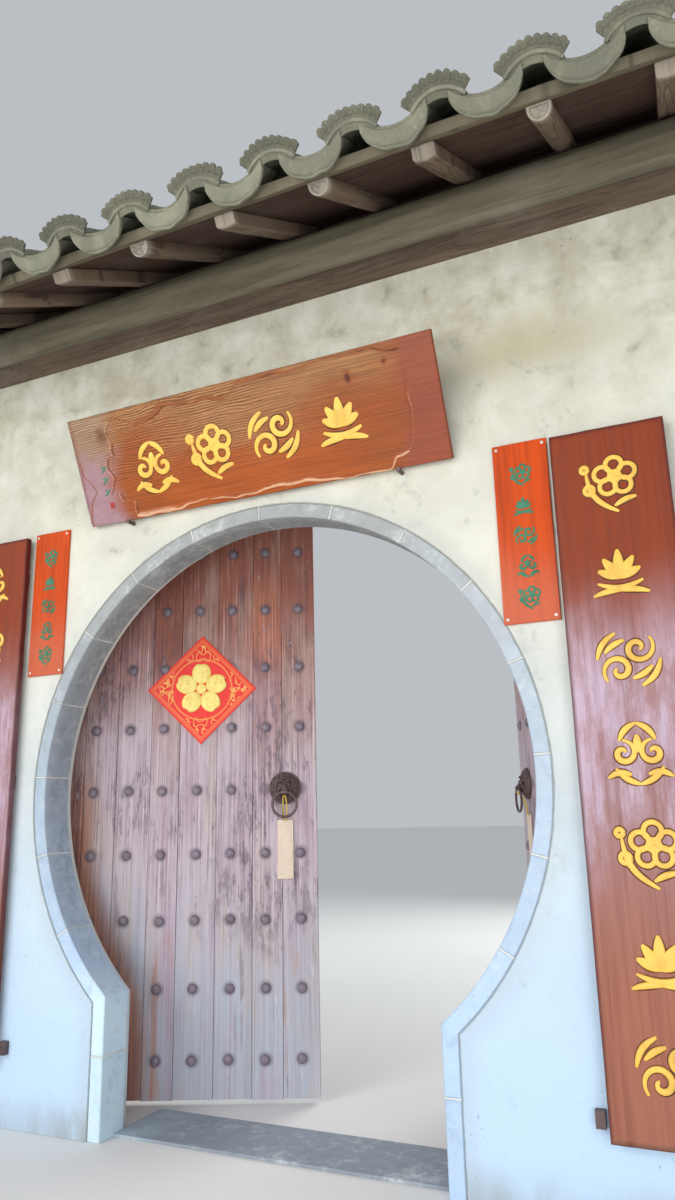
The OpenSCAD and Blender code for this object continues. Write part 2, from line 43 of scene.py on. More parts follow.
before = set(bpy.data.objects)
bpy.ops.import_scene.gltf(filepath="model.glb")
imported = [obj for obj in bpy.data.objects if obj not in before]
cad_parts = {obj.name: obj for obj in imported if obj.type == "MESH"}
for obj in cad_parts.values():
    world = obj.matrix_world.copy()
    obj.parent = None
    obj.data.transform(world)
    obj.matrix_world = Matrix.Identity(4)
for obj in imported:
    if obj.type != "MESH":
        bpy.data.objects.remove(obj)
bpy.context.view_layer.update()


def rgb(red, green, blue):
    """Linear colour of a screen colour: each channel over 255, raised to the screen's power curve."""
    return tuple(((c / 255 + 0.055) / 1.055) ** 2.4 if c > 10 else c / 3294 for c in (red, green, blue))


def shade(colour, by):
    """The colour times a number."""
    return tuple(min(1.0, c * by) for c in colour)


def length(name, description, default):
    """A size in metres that the sidebar shows."""
    return FloatProperty(name=name, description=description, default=default, min=0,
                         subtype="DISTANCE", unit="LENGTH", precision=4)


def angle(name, description, degrees):
    """An angle that the sidebar shows in degrees."""
    return FloatProperty(name=name, description=description, default=math.radians(degrees),
                         subtype="ANGLE", unit="ROTATION")


def tint(name, description, red, green, blue):
    """A colour that the sidebar shows."""
    return FloatVectorProperty(name=name, description=description, default=rgb(red, green, blue),
                               size=3, min=0, max=1, subtype="COLOR")


class GateWallSizes(bpy.types.PropertyGroup):
    """Sizes of the wall and its stone ring."""
    face: length("Face", "Distance of the wall's face from its middle", 0.185)
    ring: length("Ring radius", "Clear radius of the round doorway", 1.0)
    centre: length("Ring height", "Height of the ring's centre", 1.2457)
    band: length("Band", "Width of the stone band on the face", 0.054)
    depth: length("Stone depth", "Depth of the stones into the wall", 0.14)
    jamb: length("Jamb", "Half of the clear width between the jambs", 0.651)
    joint: length("Joint", "Width of the mortar joints", 0.005)
    foot: length("Foot", "Height of the foot stones", 0.28)
    step: angle("Step", "Angle from one ring joint to the next", 17.43)
    stones: IntProperty(name="Stones", description="Ring stones on each side of the crown", default=7, min=1)


class GateLeafSizes(bpy.types.PropertyGroup):
    """Sizes of the two leaves."""
    pivot: length("Pivot", "Distance of each pivot from the doorway's centre", 1.2)
    pivot_depth: length("Pivot depth", "Distance of the pivots behind the wall's middle", 0.0375)
    left: angle("Left angle", "Angle that the left leaf stands open", 23.1)
    right: angle("Right angle", "Angle that the right leaf stands open", 64.5)
    near: length("Post joint", "Distance from the pivot to the first plank", 0.018)
    reach: length("Reach", "Distance from the pivot to the free edge", 1.197)
    low: length("Lower edge", "Height of the leaf's lower edge", 0.018)
    high: length("Upper edge", "Height of the leaf's upper edge", 2.455)
    thick: length("Thickness", "Thickness of the planks", 0.045)
    gap: length("Plank gap", "Gap between planks", 0.0014)
    planks: IntProperty(name="Planks", description="Planks in a leaf", default=8, min=2)
    rows: IntProperty(name="Rows", description="Rows of studs, each on a batten", default=9, min=2)
    first_row: length("First row", "Height of the lowest row of studs", 0.1653)
    row_step: length("Row step", "Distance between rows of studs", 0.2683)
    last_stud: length("Last stud", "Distance of the outermost studs from the pivot", 1.125)
    stud_step: length("Stud step", "Distance between studs in a row", 0.1508)
    stud: length("Stud", "Radius of a stud's head", 0.0205)
    batten: length("Batten", "Thickness of the battens behind", 0.032)
    knock: length("Knocker", "Distance of the knocker from the pivot", 1.06)
    knock_high: length("Knocker height", "Height of the knocker's middle", 1.24)
    paper: length("Paper", "Side of the square paper", 0.345)
    paper_in: length("Paper place", "Distance of the paper's middle from the pivot", 0.688)
    paper_high: length("Paper height", "Height of the paper's middle", 1.681)


class GateRoofSizes(bpy.types.PropertyGroup):
    """Sizes of the roof and its tiles."""
    slope: angle("Slope", "Slope of the roof", 31)
    eave: length("Eave", "Distance of the rafters' lower ends from the wall's middle", 0.735)
    eave_high: length("Eave height", "Height of the rafters' lower ends", 3.1242)
    half: length("Half length", "Half of the roof's length", 2.236)
    pitch: length("Tile pitch", "Distance between rows of tiles", 0.286)
    rows: IntProperty(name="Rows", description="Rows of pan tiles on each side of the middle one",
                      default=7, min=1)
    course: length("Course", "Length of each tile that stays in view", 0.098)
    tile: length("Tile", "Thickness of a tile", 0.012)
    pan: length("Pan radius", "Outer radius of the pan tiles", 0.1573)
    cover: length("Cover radius", "Outer radius of the cover tiles", 0.118)
    sunk: length("Cover depth", "Depth of the cover tiles' centre below the bedding", 0.046)
    bed: length("Bed", "Height of the bedding above the rafters' undersides", 0.09)
    rafter: length("Rafter", "Height of the rafters", 0.05)
    log: length("Log", "Radius of the purlin logs", 0.1049)
    rafter_pitch: length("Rafter pitch", "Distance between rafters", 0.365)


class GateBoardSizes(bpy.types.PropertyGroup):
    """Sizes of the name boards."""
    half: length("Signboard half", "Half of the signboard's length", 0.8)
    high: length("Signboard height", "Height of the signboard", 0.45)
    thick: length("Signboard thickness", "Thickness of the signboard", 0.028)
    low: length("Signboard edge", "Height of the signboard's rear lower edge", 2.34683)
    gap: length("Signboard gap", "Gap between that edge and the wall", 0.0046)
    lean: angle("Lean", "Angle that the signboard leans forward", 25)
    long_in: length("Long board", "Inner edge of the long boards", 1.14)
    long_wide: length("Long board width", "Width of the long boards", 0.36)
    long_low: length("Long board edge", "Height of the long boards' lower edges", 0.227)
    long_high: length("Long board height", "Height of the long boards", 2.108)
    long_out: length("Long board face", "Distance of the long boards' faces from the wall", 0.05)
    small_in: length("Small board", "Inner edge of the small boards", 0.938)
    small_wide: length("Small board width", "Width of the small boards", 0.186)
    small_low: length("Small board edge", "Height of the small boards' lower edges", 1.72)
    small_high: length("Small board height", "Height of the small boards", 0.635)
    small_thick: length("Small board thickness", "Thickness of the small boards", 0.012)


class GateColours(bpy.types.PropertyGroup):
    """Colours of the finishes."""
    plaster: tint("Plaster", "Limewash on the wall", 222, 221, 208)
    stain: tint("Stain", "Damp stain high on the wall", 172, 166, 142)
    stone: tint("Stone", "Smooth grey stone of the ring", 164, 166, 164)
    # Painted light: this paler stone stands in for light falling on the ring's lower right.
    lit_stone: tint("Pale stone", "Worn and limewashed stone", 200, 206, 212)
    tile: tint("Tile", "Fired clay tiles", 124, 123, 108)
    dust: tint("Dust", "Lichen and dust on the tiles", 148, 147, 126)
    log: tint("Log", "Weathered logs", 124, 117, 97)
    dark_wood: tint("Dark wood", "Boarding under the tiles", 84, 62, 52)
    rafter: tint("Rafter", "Rafters and wall plates", 128, 109, 92)
    door_top: tint("Door, high", "Planks under the arch, where rain never reaches", 152, 90, 72)
    door_low: tint("Door, low", "Bleached lower planks", 180, 184, 197)
    iron: tint("Iron", "Knockers and irons", 106, 88, 88)
    varnish: tint("Varnish", "Varnished signboard", 164, 82, 26)
    plum: tint("Plum", "Purple-brown ends of the boards", 142, 70, 48)
    # Painted highlight: the cream laid on the signboard's carved ridges.
    cream_highlight: tint("Cream", "Carved edge of the signboard", 222, 176, 138)
    foil: tint("Foil", "Pale gold of the paper blossom", 246, 226, 130)
    stud: tint("Stud", "Heads of the studs", 130, 118, 130)
    gold: tint("Gold", "Gilded ornaments", 248, 196, 84)
    orange: tint("Orange", "Small painted boards", 204, 72, 4)
    green: tint("Green", "Ornaments of the small boards", 58, 128, 96)
    paper: tint("Red paper", "Diamond of paper on the left leaf", 230, 40, 28)
    label: tint("Label", "Slips of bare board below the rings", 226, 206, 186)


# Shapes


def waves(a, b, seed, count=6):
    """Smooth bumps between about -1 and 1: a sum of sine waves, with directions drawn from the seed."""
    dice = np.random.default_rng(seed)
    total = 0
    for _ in range(count):
        k, m, phase = dice.uniform(-1, 1), dice.uniform(-1, 1), dice.uniform(0, 6.28)
        total = total + np.sin(k * a + m * b + phase)
    return total / math.sqrt(count)


def bell(value, width, power=2):
    """A hump round zero: e to the power of minus (value / width) squared, or raised to another even power."""
    return np.exp(-(value / width) ** power)


def unit(vectors):
    """Each vector divided by its length."""
    return vectors / np.maximum(np.linalg.norm(vectors, axis=-1, keepdims=True), 1e-12)


def mesh_of(*axes):
    """Grids of equal shape from several values that broadcast against each other, stacked as points."""
    return np.stack(np.broadcast_arrays(*[np.asarray(a, float) for a in axes]), -1)


def parts(points):
    """The coordinates of points as separate grids."""
    return np.moveaxis(points, -1, 0)


def by_copy(values):
    """Values that differ from one copy of a grid to the next."""
    return np.asarray(values, float)[:, None, None]


def by_row(values):
    """Values that run down the rows of a grid."""
    return np.asarray(values, float)[None, :, None]


def by_column(values):
    """Values that run along the columns of a grid."""
    return np.asarray(values, float)[None, None]


def circle(count):
    """Angles evenly round a circle."""
    return np.linspace(0, 2 * math.pi, count, endpoint=False)


def quads(nu, nv, wrap=False):
    """Corner numbers of the faces of a grid of points. With wrap, the last column joins the first."""
    i, j = np.meshgrid(np.arange(nu - 1), np.arange(nv if wrap else nv - 1), indexing="ij")
    k = (j + 1) % nv
    return np.stack([i * nv + j, (i + 1) * nv + j, (i + 1) * nv + k, i * nv + k], -1).reshape(-1, 4)


def rim(nu, nv):
    """Point numbers round the edge of a grid, in order."""
    n = np.arange(nu * nv).reshape(nu, nv)
    return np.concatenate([n[0, :-1], n[:-1, -1], n[-1, :0:-1], n[:0:-1, 0]])


def shrunk(grid, by):
    """The grid with its outer rows moved inwards by a fixed distance, along the line to the next row."""
    g = grid.copy()
    g[:, 0] += by * unit(grid[:, 1] - grid[:, 0])
    g[:, -1] += by * unit(grid[:, -2] - grid[:, -1])
    g[:, :, 0] += by * unit(grid[:, :, 1] - grid[:, :, 0])
    g[:, :, -1] += by * unit(grid[:, :, -2] - grid[:, :, -1])
    return g


class Shape:
    """Closed surfaces gathered into one mesh, with a grain vector and a mark at each point for the finish."""

    def __init__(self):
        self.points, self.grains, self.marks, self.faces, self.total = [], [], [], [], 0

    def put(self, points, faces, grain, mark):
        """Adds k copies of a closed surface. Where its signed volume is negative, its faces are reversed."""
        k, n = points.shape[:2]
        corner = (points - points.mean(1, keepdims=True))[:, faces]
        a, b, c, d = (corner[:, :, i] for i in range(4))
        volume = (np.cross(b, c) * a).sum((1, 2)) + (np.cross(c, d) * a).sum((1, 2))
        facing = np.where((volume < 0)[:, None, None], faces[None, :, ::-1], faces[None])
        self.faces.append((facing + (self.total + np.arange(k) * n)[:, None, None]).reshape(-1, 4))
        self.points.append(points.reshape(-1, 3))
        self.grains.append(np.broadcast_to(grain, points.shape).reshape(-1, 3))
        self.marks.append(np.broadcast_to(mark, (k, n)).reshape(-1))
        self.total += k * n

    def slab(self, front, back, chamfer=0.0, grain=None, mark=0.0):
        """A solid between two grids of equal shape, with sides along their rims, chamfered at both edges."""
        nu, nv = front.shape[-3:-1]
        front, back = (np.asarray(g, float).reshape(-1, nu, nv, 3) for g in np.broadcast_arrays(front, back))
        k, n, edge = len(front), nu * nv, rim(nu, nv)
        grain = front if grain is None else np.broadcast_to(mesh_of(*grain), front.shape)
        grain = grain.reshape(k, n, 3)
        mark = np.broadcast_to(mark, front.shape[:3]).reshape(k, n)
        f, b = front.reshape(k, n, 3), back.reshape(k, n, 3)
        down = chamfer * unit(b[:, edge] - f[:, edge])
        inner_f, inner_b = (shrunk(g, chamfer).reshape(k, n, 3) for g in (front, back))
        points = np.concatenate([inner_f, inner_b, f[:, edge] + down, b[:, edge] - down], 1)
        grain = np.concatenate([grain, grain, grain[:, edge], grain[:, edge]], 1)
        mark = np.concatenate([mark, mark, mark[:, edge], mark[:, edge]], 1)
        m = len(edge)
        loops = [edge, 2 * n + np.arange(m), 2 * n + m + np.arange(m), n + edge]
        sides = [np.stack([p, np.roll(p, -1), np.roll(q, -1), q], -1) for p, q in zip(loops, loops[1:])]
        faces = np.concatenate([quads(nu, nv)[:, ::-1], quads(nu, nv) + n] + sides)
        self.put(points, faces, grain, mark)

    def round(self, rings, grain=None, mark=0.0):
        """A closed surface of rings of points from end to end, with a fan to the middle of each end."""
        nu, nv = rings.shape[-3:-1]
        rings = rings.reshape(-1, nu, nv, 3)
        k, many = len(rings), (nu + 2) * nv
        ends = [np.broadcast_to(rings[:, i].mean(1)[:, None, None], rings[:, :1].shape) for i in (0, -1)]
        points = np.concatenate([ends[0], rings, ends[1]], 1)
        grain = np.broadcast_to(rings if grain is None else mesh_of(*grain), rings.shape)
        mark = np.broadcast_to(mark, rings.shape[:3])
        grain, mark = (np.concatenate([v[:, :1], v, v[:, -1:]], 1) for v in (grain, mark))
        self.put(points.reshape(k, many, 3), quads(nu + 2, nv, wrap=True), grain.reshape(k, many, 3),
                 mark.reshape(k, many))

    def build(self, name, finish, slot, covers=(), body="wall", sharp=38):
        """Makes the object. Equal points are merged, so fans and seams close, and empty faces are dropped."""
        points, faces = np.concatenate(self.points), np.concatenate(self.faces)
        keys = np.round(points * 2e5).astype(np.int64)
        _, first, same = np.unique(keys, axis=0, return_index=True, return_inverse=True)
        faces, points = same.reshape(-1)[faces], points[first]
        kept = faces != np.roll(faces, 1, axis=1)
        four = faces[kept.all(1)]
        pinched = kept.sum(1) == 3
        three = faces[pinched][kept[pinched]].reshape(-1, 3)
        mesh = bpy.data.meshes.new(name)
        mesh.from_pydata(points.tolist(), [], four.tolist() + three.tolist())
        for label, kind, key, values in (("grain", "FLOAT_VECTOR", "vector", self.grains),
                                         ("mark", "FLOAT", "value", self.marks)):
            layer = mesh.attributes.new(label, kind, "POINT")
            layer.data.foreach_set(key, np.concatenate(values)[first].astype(np.float32).ravel())
        mesh.polygons.foreach_set("use_smooth", np.ones(len(mesh.polygons), bool))
        mesh.set_sharp_from_angle(angle=math.radians(sharp))
        mesh.materials.append(finish)
        mesh.update()
        thing = bpy.data.objects.new(name, mesh)
        bpy.context.scene.collection.objects.link(thing)
        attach(thing, body)
        if covers:
            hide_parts(*covers)


def tube(path, radius, up, sides=12, flat=1.0):
    """Rings round a path: at each point a circle of the given radius, squashed by flat along up."""
    along = unit(np.gradient(path, axis=-2))
    across = unit(np.cross(along, np.broadcast_to(up, path.shape)))
    rise = np.cross(across, along)
    turn = circle(sides)[:, None]
    radius = np.broadcast_to(radius, path.shape[:-1])[..., None, None]
    ring = np.cos(turn) * across[..., None, :] + flat * np.sin(turn) * rise[..., None, :]
    return path[..., None, :] + radius * ring


def turned(profile, centres, sides=14):
    """A profile of radius and height turned about an axis through each centre (across, up)."""
    turn = circle(sides)
    radius, height = np.asarray(profile, float).T[:, :, None]
    ring = mesh_of(radius * np.cos(turn), radius * np.sin(turn), height)
    return np.pad(np.asarray(centres, float), ((0, 0), (0, 1)))[:, None, None] + ring


def on_leaf(side, leaf, u, v, z):
    """Leaf places (u from the pivot, v through, z up) turned by the leaf's angle about its pivot."""
    hand, turn = (1, leaf.left) if side == "left" else (-1, -leaf.right)
    c, w = math.cos(turn), math.sin(turn)
    return mesh_of(hand * (u * c - leaf.pivot) - v * w, leaf.pivot_depth + hand * u * w + v * c, z)


def on_plate(side, leaf, across, up, out):
    """Knocker places (across, up, out from the leaf) on the leaf's face, round the knocker's middle."""
    return on_leaf(side, leaf, leaf.knock + across, -leaf.thick / 2 - out, leaf.knock_high + up)


def on_roof(roof, side, x, s, n):
    """Roof places: s runs up the slope from the rafters' ends, n square to it. Side -1 is the back slope."""
    c, w = math.cos(roof.slope), math.sin(roof.slope)
    return mesh_of(x, side * (s * c - n * w - roof.eave), roof.eave_high + s * w + n * c)


def on_sign(wall, boards, x, h, out):
    """Signboard places: h up the board and out from its front, leaned forward about its rear lower edge."""
    c, w = math.cos(boards.lean), math.sin(boards.lean)
    y = -wall.face - boards.gap - (boards.thick + out) * c - h * w
    return mesh_of(x, y, boards.low - (boards.thick + out) * w + h * c)


# Finishes


class Wire:
    """One socket of a material, with arithmetic that adds Math nodes."""

    def __init__(self, paint, socket):
        self.paint, self.socket = paint, socket

    def math(self, operation, *values):
        """A Math node. The wire itself stands where a value is None."""
        values = [self if v is None else v for v in values]
        return self.paint.node("ShaderNodeMath", {"operation": operation}, *values)

    def __add__(self, other):
        return self.math("ADD", None, other)

    def __sub__(self, other):
        return self.math("SUBTRACT", None, other)

    def __rsub__(self, other):
        return self.math("SUBTRACT", other, None)

    def __mul__(self, other):
        return self.math("MULTIPLY", None, other)

    def __truediv__(self, other):
        return self.math("DIVIDE", None, other)

    def __pow__(self, other):
        return self.math("POWER", None, other)

    __radd__, __rmul__ = __add__, __mul__

    def step(self, low, high):
        """0 below low and 1 above high, with a smooth rise between them."""
        smooth = {"interpolation_type": "SMOOTHSTEP"}
        return self.paint.node("ShaderNodeMapRange", smooth, self, low, high, 0.0, 1.0)

    def fall(self, low, high):
        """1 below low and 0 above high, with a smooth fall between them."""
        return 1 - self.step(low, high)

    def below(self, other):
        """The smaller of two values."""
        return self.math("MINIMUM", None, other)

    def above(self, other):
        """The larger of two values."""
        return self.math("MAXIMUM", None, other)

    def size(self):
        """The value without its sign."""
        return self.math("ABSOLUTE", None)

    def sine(self):
        """The sine of an angle in radians."""
        return self.math("SINE", None)

    def fraction(self):
        """The part after the decimal point."""
        return self.math("FRACT", None)


class Paint:
    """A material under construction. Its base is the colour laid so far."""

    def __init__(self, name):
        self.material = bpy.data.materials.new(name)
        self.material.use_nodes = True
        self.tree = self.material.node_tree
        self.base = None

    def node(self, kind, settings=None, *values, out=0, **named):
        """Adds a node, sets its settings, links or sets its sockets, and gives back one of its outputs."""
        made = self.tree.nodes.new(kind)
        for key, value in (settings or {}).items():
            setattr(made, key, value)
        for key, value in list(enumerate(values)) + list(named.items()):
            self.feed(made.inputs[key], value)
        return Wire(self, made.outputs[out])

    def feed(self, socket, value):
        """Links a wire to a socket, or sets a plain value on it."""
        if isinstance(value, Wire):
            self.tree.links.new(value.socket, socket)
        elif socket.type == "RGBA" and len(value) == 3:
            socket.default_value = (*value, 1.0)
        else:
            socket.default_value = value

    def place(self):
        """Object coordinates in metres."""
        return self.node("ShaderNodeTexCoord", out="Object")

    def grain(self):
        """The grain vector kept on the mesh: along the wood, across it and the board's own number."""
        return self.node("ShaderNodeAttribute", {"attribute_name": "grain"}, out="Vector")

    def mark(self):
        """The mark kept on the mesh."""
        return self.node("ShaderNodeAttribute", {"attribute_name": "mark"}, out="Fac")

    def split(self, vector):
        """The three parts of a vector."""
        return [Wire(self, s) for s in self.node("ShaderNodeSeparateXYZ", None, vector).socket.node.outputs]

    def vector(self, operation, *values, out=0):
        """A Vector Math node."""
        return self.node("ShaderNodeVectorMath", {"operation": operation}, *values, out=out)

    def away(self, vector, place, scale):
        """Distance of a vector from a place, with each direction scaled."""
        apart = self.vector("MULTIPLY", self.vector("SUBTRACT", vector, place), scale)
        return self.vector("LENGTH", apart, out="Value")

    def noise(self, vector, scale, detail=4.0, rough=0.55, bend=0.0):
        """Cloudy noise between 0 and 1, in lumps of about 1 / scale metres. Three scales stretch them."""
        if isinstance(scale, tuple):
            vector, scale = self.vector("MULTIPLY", vector, scale), 1.0
        return self.node("ShaderNodeTexNoise", None, Vector=vector, Scale=scale, Detail=detail,
                         Roughness=rough, Distortion=bend)

    def mix(self, share, one, other):
        """A colour between two, by the share of the other one."""
        made = self.node("ShaderNodeMix", {"data_type": "RGBA"}).socket.node
        for index, value in ((0, share), (6, one), (7, other)):
            self.feed(made.inputs[index], value)
        return Wire(self, made.outputs[2])

    def ground(self, share, colour, low, high):
        """Starts the base with two tones of one colour."""
        self.base = self.mix(share, shade(colour, low), shade(colour, high))

    def over(self, share, *colour):
        """Lays a colour over the base: a colour or wire, or the red, green and blue of a screen colour."""
        self.base = self.mix(share, self.base, rgb(*colour) if len(colour) == 3 else colour[0])

    def done(self, rough, height=None, depth=0.0, shine=0.5, metal=0.0):
        """Feeds the shader with the base, a roughness and a relief of the given depth in metres."""
        sockets = self.tree.nodes["Principled BSDF"].inputs
        self.feed(sockets["Base Color"], self.base)
        self.feed(sockets["Roughness"], rough)
        sockets["Specular IOR Level"].default_value = shine
        sockets["Metallic"].default_value = metal
        if height is not None:
            bump = self.node("ShaderNodeBump", None, Strength=1.0, Distance=depth, Height=height)
            self.feed(sockets["Normal"], bump)
        return self.material


def plaster_finish(colours, wall):
    """Limewash: clouds, pits, a damp stain high up, painted bluish light low down, a dark line round the
    ring.
    """
    p = Paint("limewashed plaster")
    spot = p.place()
    x, y, z = p.split(spot)
    cloud, fine = p.noise(spot, 2.1, 6.0, 0.62), p.noise(spot, 24.0, 5.0, 0.6)
    patch, drip = p.noise(spot, 5.5, 7.0, 0.66, 0.3), p.noise(spot, (7, 7, 1.6), 5.0, 0.6, 0.4)
    p.ground(cloud.step(0.35, 0.7), colours.plaster, 0.86, 1.05)
    # Painted light: a bluish cast of daylight over the lower wall, weaker on faces turned away from the
    # front.
    p.over(z.fall(0.2, 2.0) * (0.92 - y.step(-0.16, 0.0) * 0.55), 190, 217, 243)
    p.over(z.step(1.9, 2.9) * (cloud * 0.5 + patch * 0.6 + drip * 0.2).step(0.48, 0.8) * 0.85, colours.stain)
    corner = p.away(spot, (1.06, 0, 2.72), (1.7, 0, 4.6))
    p.over((corner + (patch - 0.5) * 1.6).fall(0.1, 0.75) * 0.55, 170, 160, 118)
    smudge = (patch * 0.7 + fine * 0.4).step(0.6, 0.74)
    p.over(smudge * (z.step(1.2, 2.4) * 0.35 + 0.2), 140, 142, 134)
    pit = p.noise(spot, 60.0, 3.0, 0.6).step(0.66, 0.72) * cloud.step(0.45, 0.65)
    p.over(pit * 0.5, 120, 120, 114)
    lift = z - wall.centre
    jamb = (x.size() - (wall.jamb + wall.band)).above(z - wall.centre * 0.5)
    outside = ((x * x + lift * lift) ** 0.5 - (wall.ring + wall.band)).below(jamb)
    front = y.fall(-wall.face + 0.002, -wall.face + 0.01)
    groove = (outside + (fine - 0.5) * 0.01).fall(0.0, 0.007) * front
    p.over(groove * 0.6, 98, 100, 96)
    p.over((outside + (cloud - 0.5) * 0.08).fall(0.0, 0.10) * front * 0.3, 176, 180, 176)
    p.over(z.fall(0.0, 0.16) * (drip.step(0.3, 0.7) * 0.5 + 0.2), 150, 150, 144)
    return p.done(0.9, cloud * 1.4 + patch * 0.8 + fine * 0.3 - groove * 0.8 - pit * 0.3, 0.007, 0.25)


def stone_finish(colours, name="ring stone", tone=1.0, low=(186, 214, 244)):
    """Smooth cut stone: mottled, mossy high up, each stone of its own tone, with painted light: paler towards
    the lower right, bluish low down and on the left jamb, and painted shade in the reveal.
    """
    p = Paint(name)
    spot = p.place()
    x, y, z = p.split(spot)
    own = p.split(p.grain())[2]
    cloud, fine = p.noise(spot, 7.0, 6.0, 0.62, 0.3), p.noise(spot, 60.0, 4.0, 0.6)
    mottle = p.noise(spot, 19.0, 6.0, 0.7, 0.4)
    # Painted light: the stone pales towards the lower right, where light falls on it.
    pale = (x * 0.26 - z * 0.26 + cloud * 0.9).step(-0.15, 0.7)
    p.base = p.mix(pale, shade(colours.stone, tone), shade(colours.lit_stone, tone))
    # Painted light: low is a bluish cast of daylight laid on the stone low down.
    p.over(z.fall(0.2, 2.2) * 0.9, shade(rgb(*low), tone))
    # Painted light: a near-white bluish patch low on the left jamb.
    p.over(x.fall(-0.7, -0.4) * z.fall(0.42, 0.62) * 0.85, shade(rgb(216, 242, 255), tone))
    p.over(own * 0.18, 134, 146, 150)
    p.over(mottle.step(0.5, 0.7) * 0.22, 116, 124, 124)
    p.over(mottle.fall(0.32, 0.48) * 0.3, 222, 226, 224)
    wash = (p.noise(spot, 3.0, 5.0, 0.7) * 0.8 + fine * 0.25).step(0.56, 0.7)
    p.over(wash * 0.5, 222, 228, 230)
    moss = cloud.step(0.52, 0.66) * z.step(1.6, 2.2) * mottle.step(0.4, 0.6)
    p.over(moss * 0.4, 128, 146, 118)
    p.over(fine.step(0.62, 0.72) * 0.3, 100, 104, 100)
    # Painted shade: the stone darkens inside the reveal, higher up, partly in patches.
    inner = y.step(-0.18, -0.12)
    p.over(inner * 0.25 * z.step(0.5, 1.5), 96, 98, 98)
    p.over(inner * (mottle * 0.7 + cloud * 0.4).step(0.5, 0.66) * z.step(0.45, 0.8) * 0.22, 92, 98, 102)
    return p.done(0.72 - wash * 0.1, cloud * 0.6 + mottle * 0.4 + fine * 0.2, 0.0035, 0.3)


def mortar_finish(name, red, green, blue, relief=0.004):
    """Lime mortar: pale, grainy and uneven."""
    p = Paint(name)
    spot, colour = p.place(), rgb(red, green, blue)
    fine, cloud = p.noise(spot, 90.0, 4.0, 0.7), p.noise(spot, 8.0, 5.0)
    p.ground(cloud.step(0.35, 0.7), colour, 1.0, 0.72)
    p.over(fine.step(0.55, 0.75) * 0.4, shade(colour, 0.5))
    return p.done(0.95, fine + cloud, relief)


def old_wood_finish(name, light, stretch, own=False, checks=0.5, worn=0.3, pale=None):
    """Weathered timber: fibres, cracks along them and grey patches. The stretch is small along the grain."""
    p = Paint(name)
    spot = p.grain() if own else p.place()
    wide, wider = (tuple(v * by for v in stretch) for by in (0.715, 0.35))
    cloudy = p.noise(p.place(), 3.0, 5.0, 0.6)
    fibre = p.noise(spot, stretch, 6.0, 0.68, 0.4)
    coarse = p.noise(spot, wider, 4.0, 0.5, 0.8)
    crack = (p.noise(spot, wide, 3.0, 0.5) - 0.5).size().fall(0.0, 0.018)
    p.ground(fibre.step(0.3, 0.72), light, 0.58, 1.12)
    p.over(coarse.step(0.45, 0.75) * 0.5, shade(light, 0.7))
    p.over(cloudy.step(0.5, 0.75) * worn, 150, 146, 132)
    p.over(crack * checks, shade(light, 0.18))
    if pale:
        p.over(p.mark() * (fibre * 0.6 + coarse * 0.5), pale)
    return p.done(0.85, fibre * 0.8 + coarse * 0.5 - crack * checks * 1.2, 0.003, 0.3)


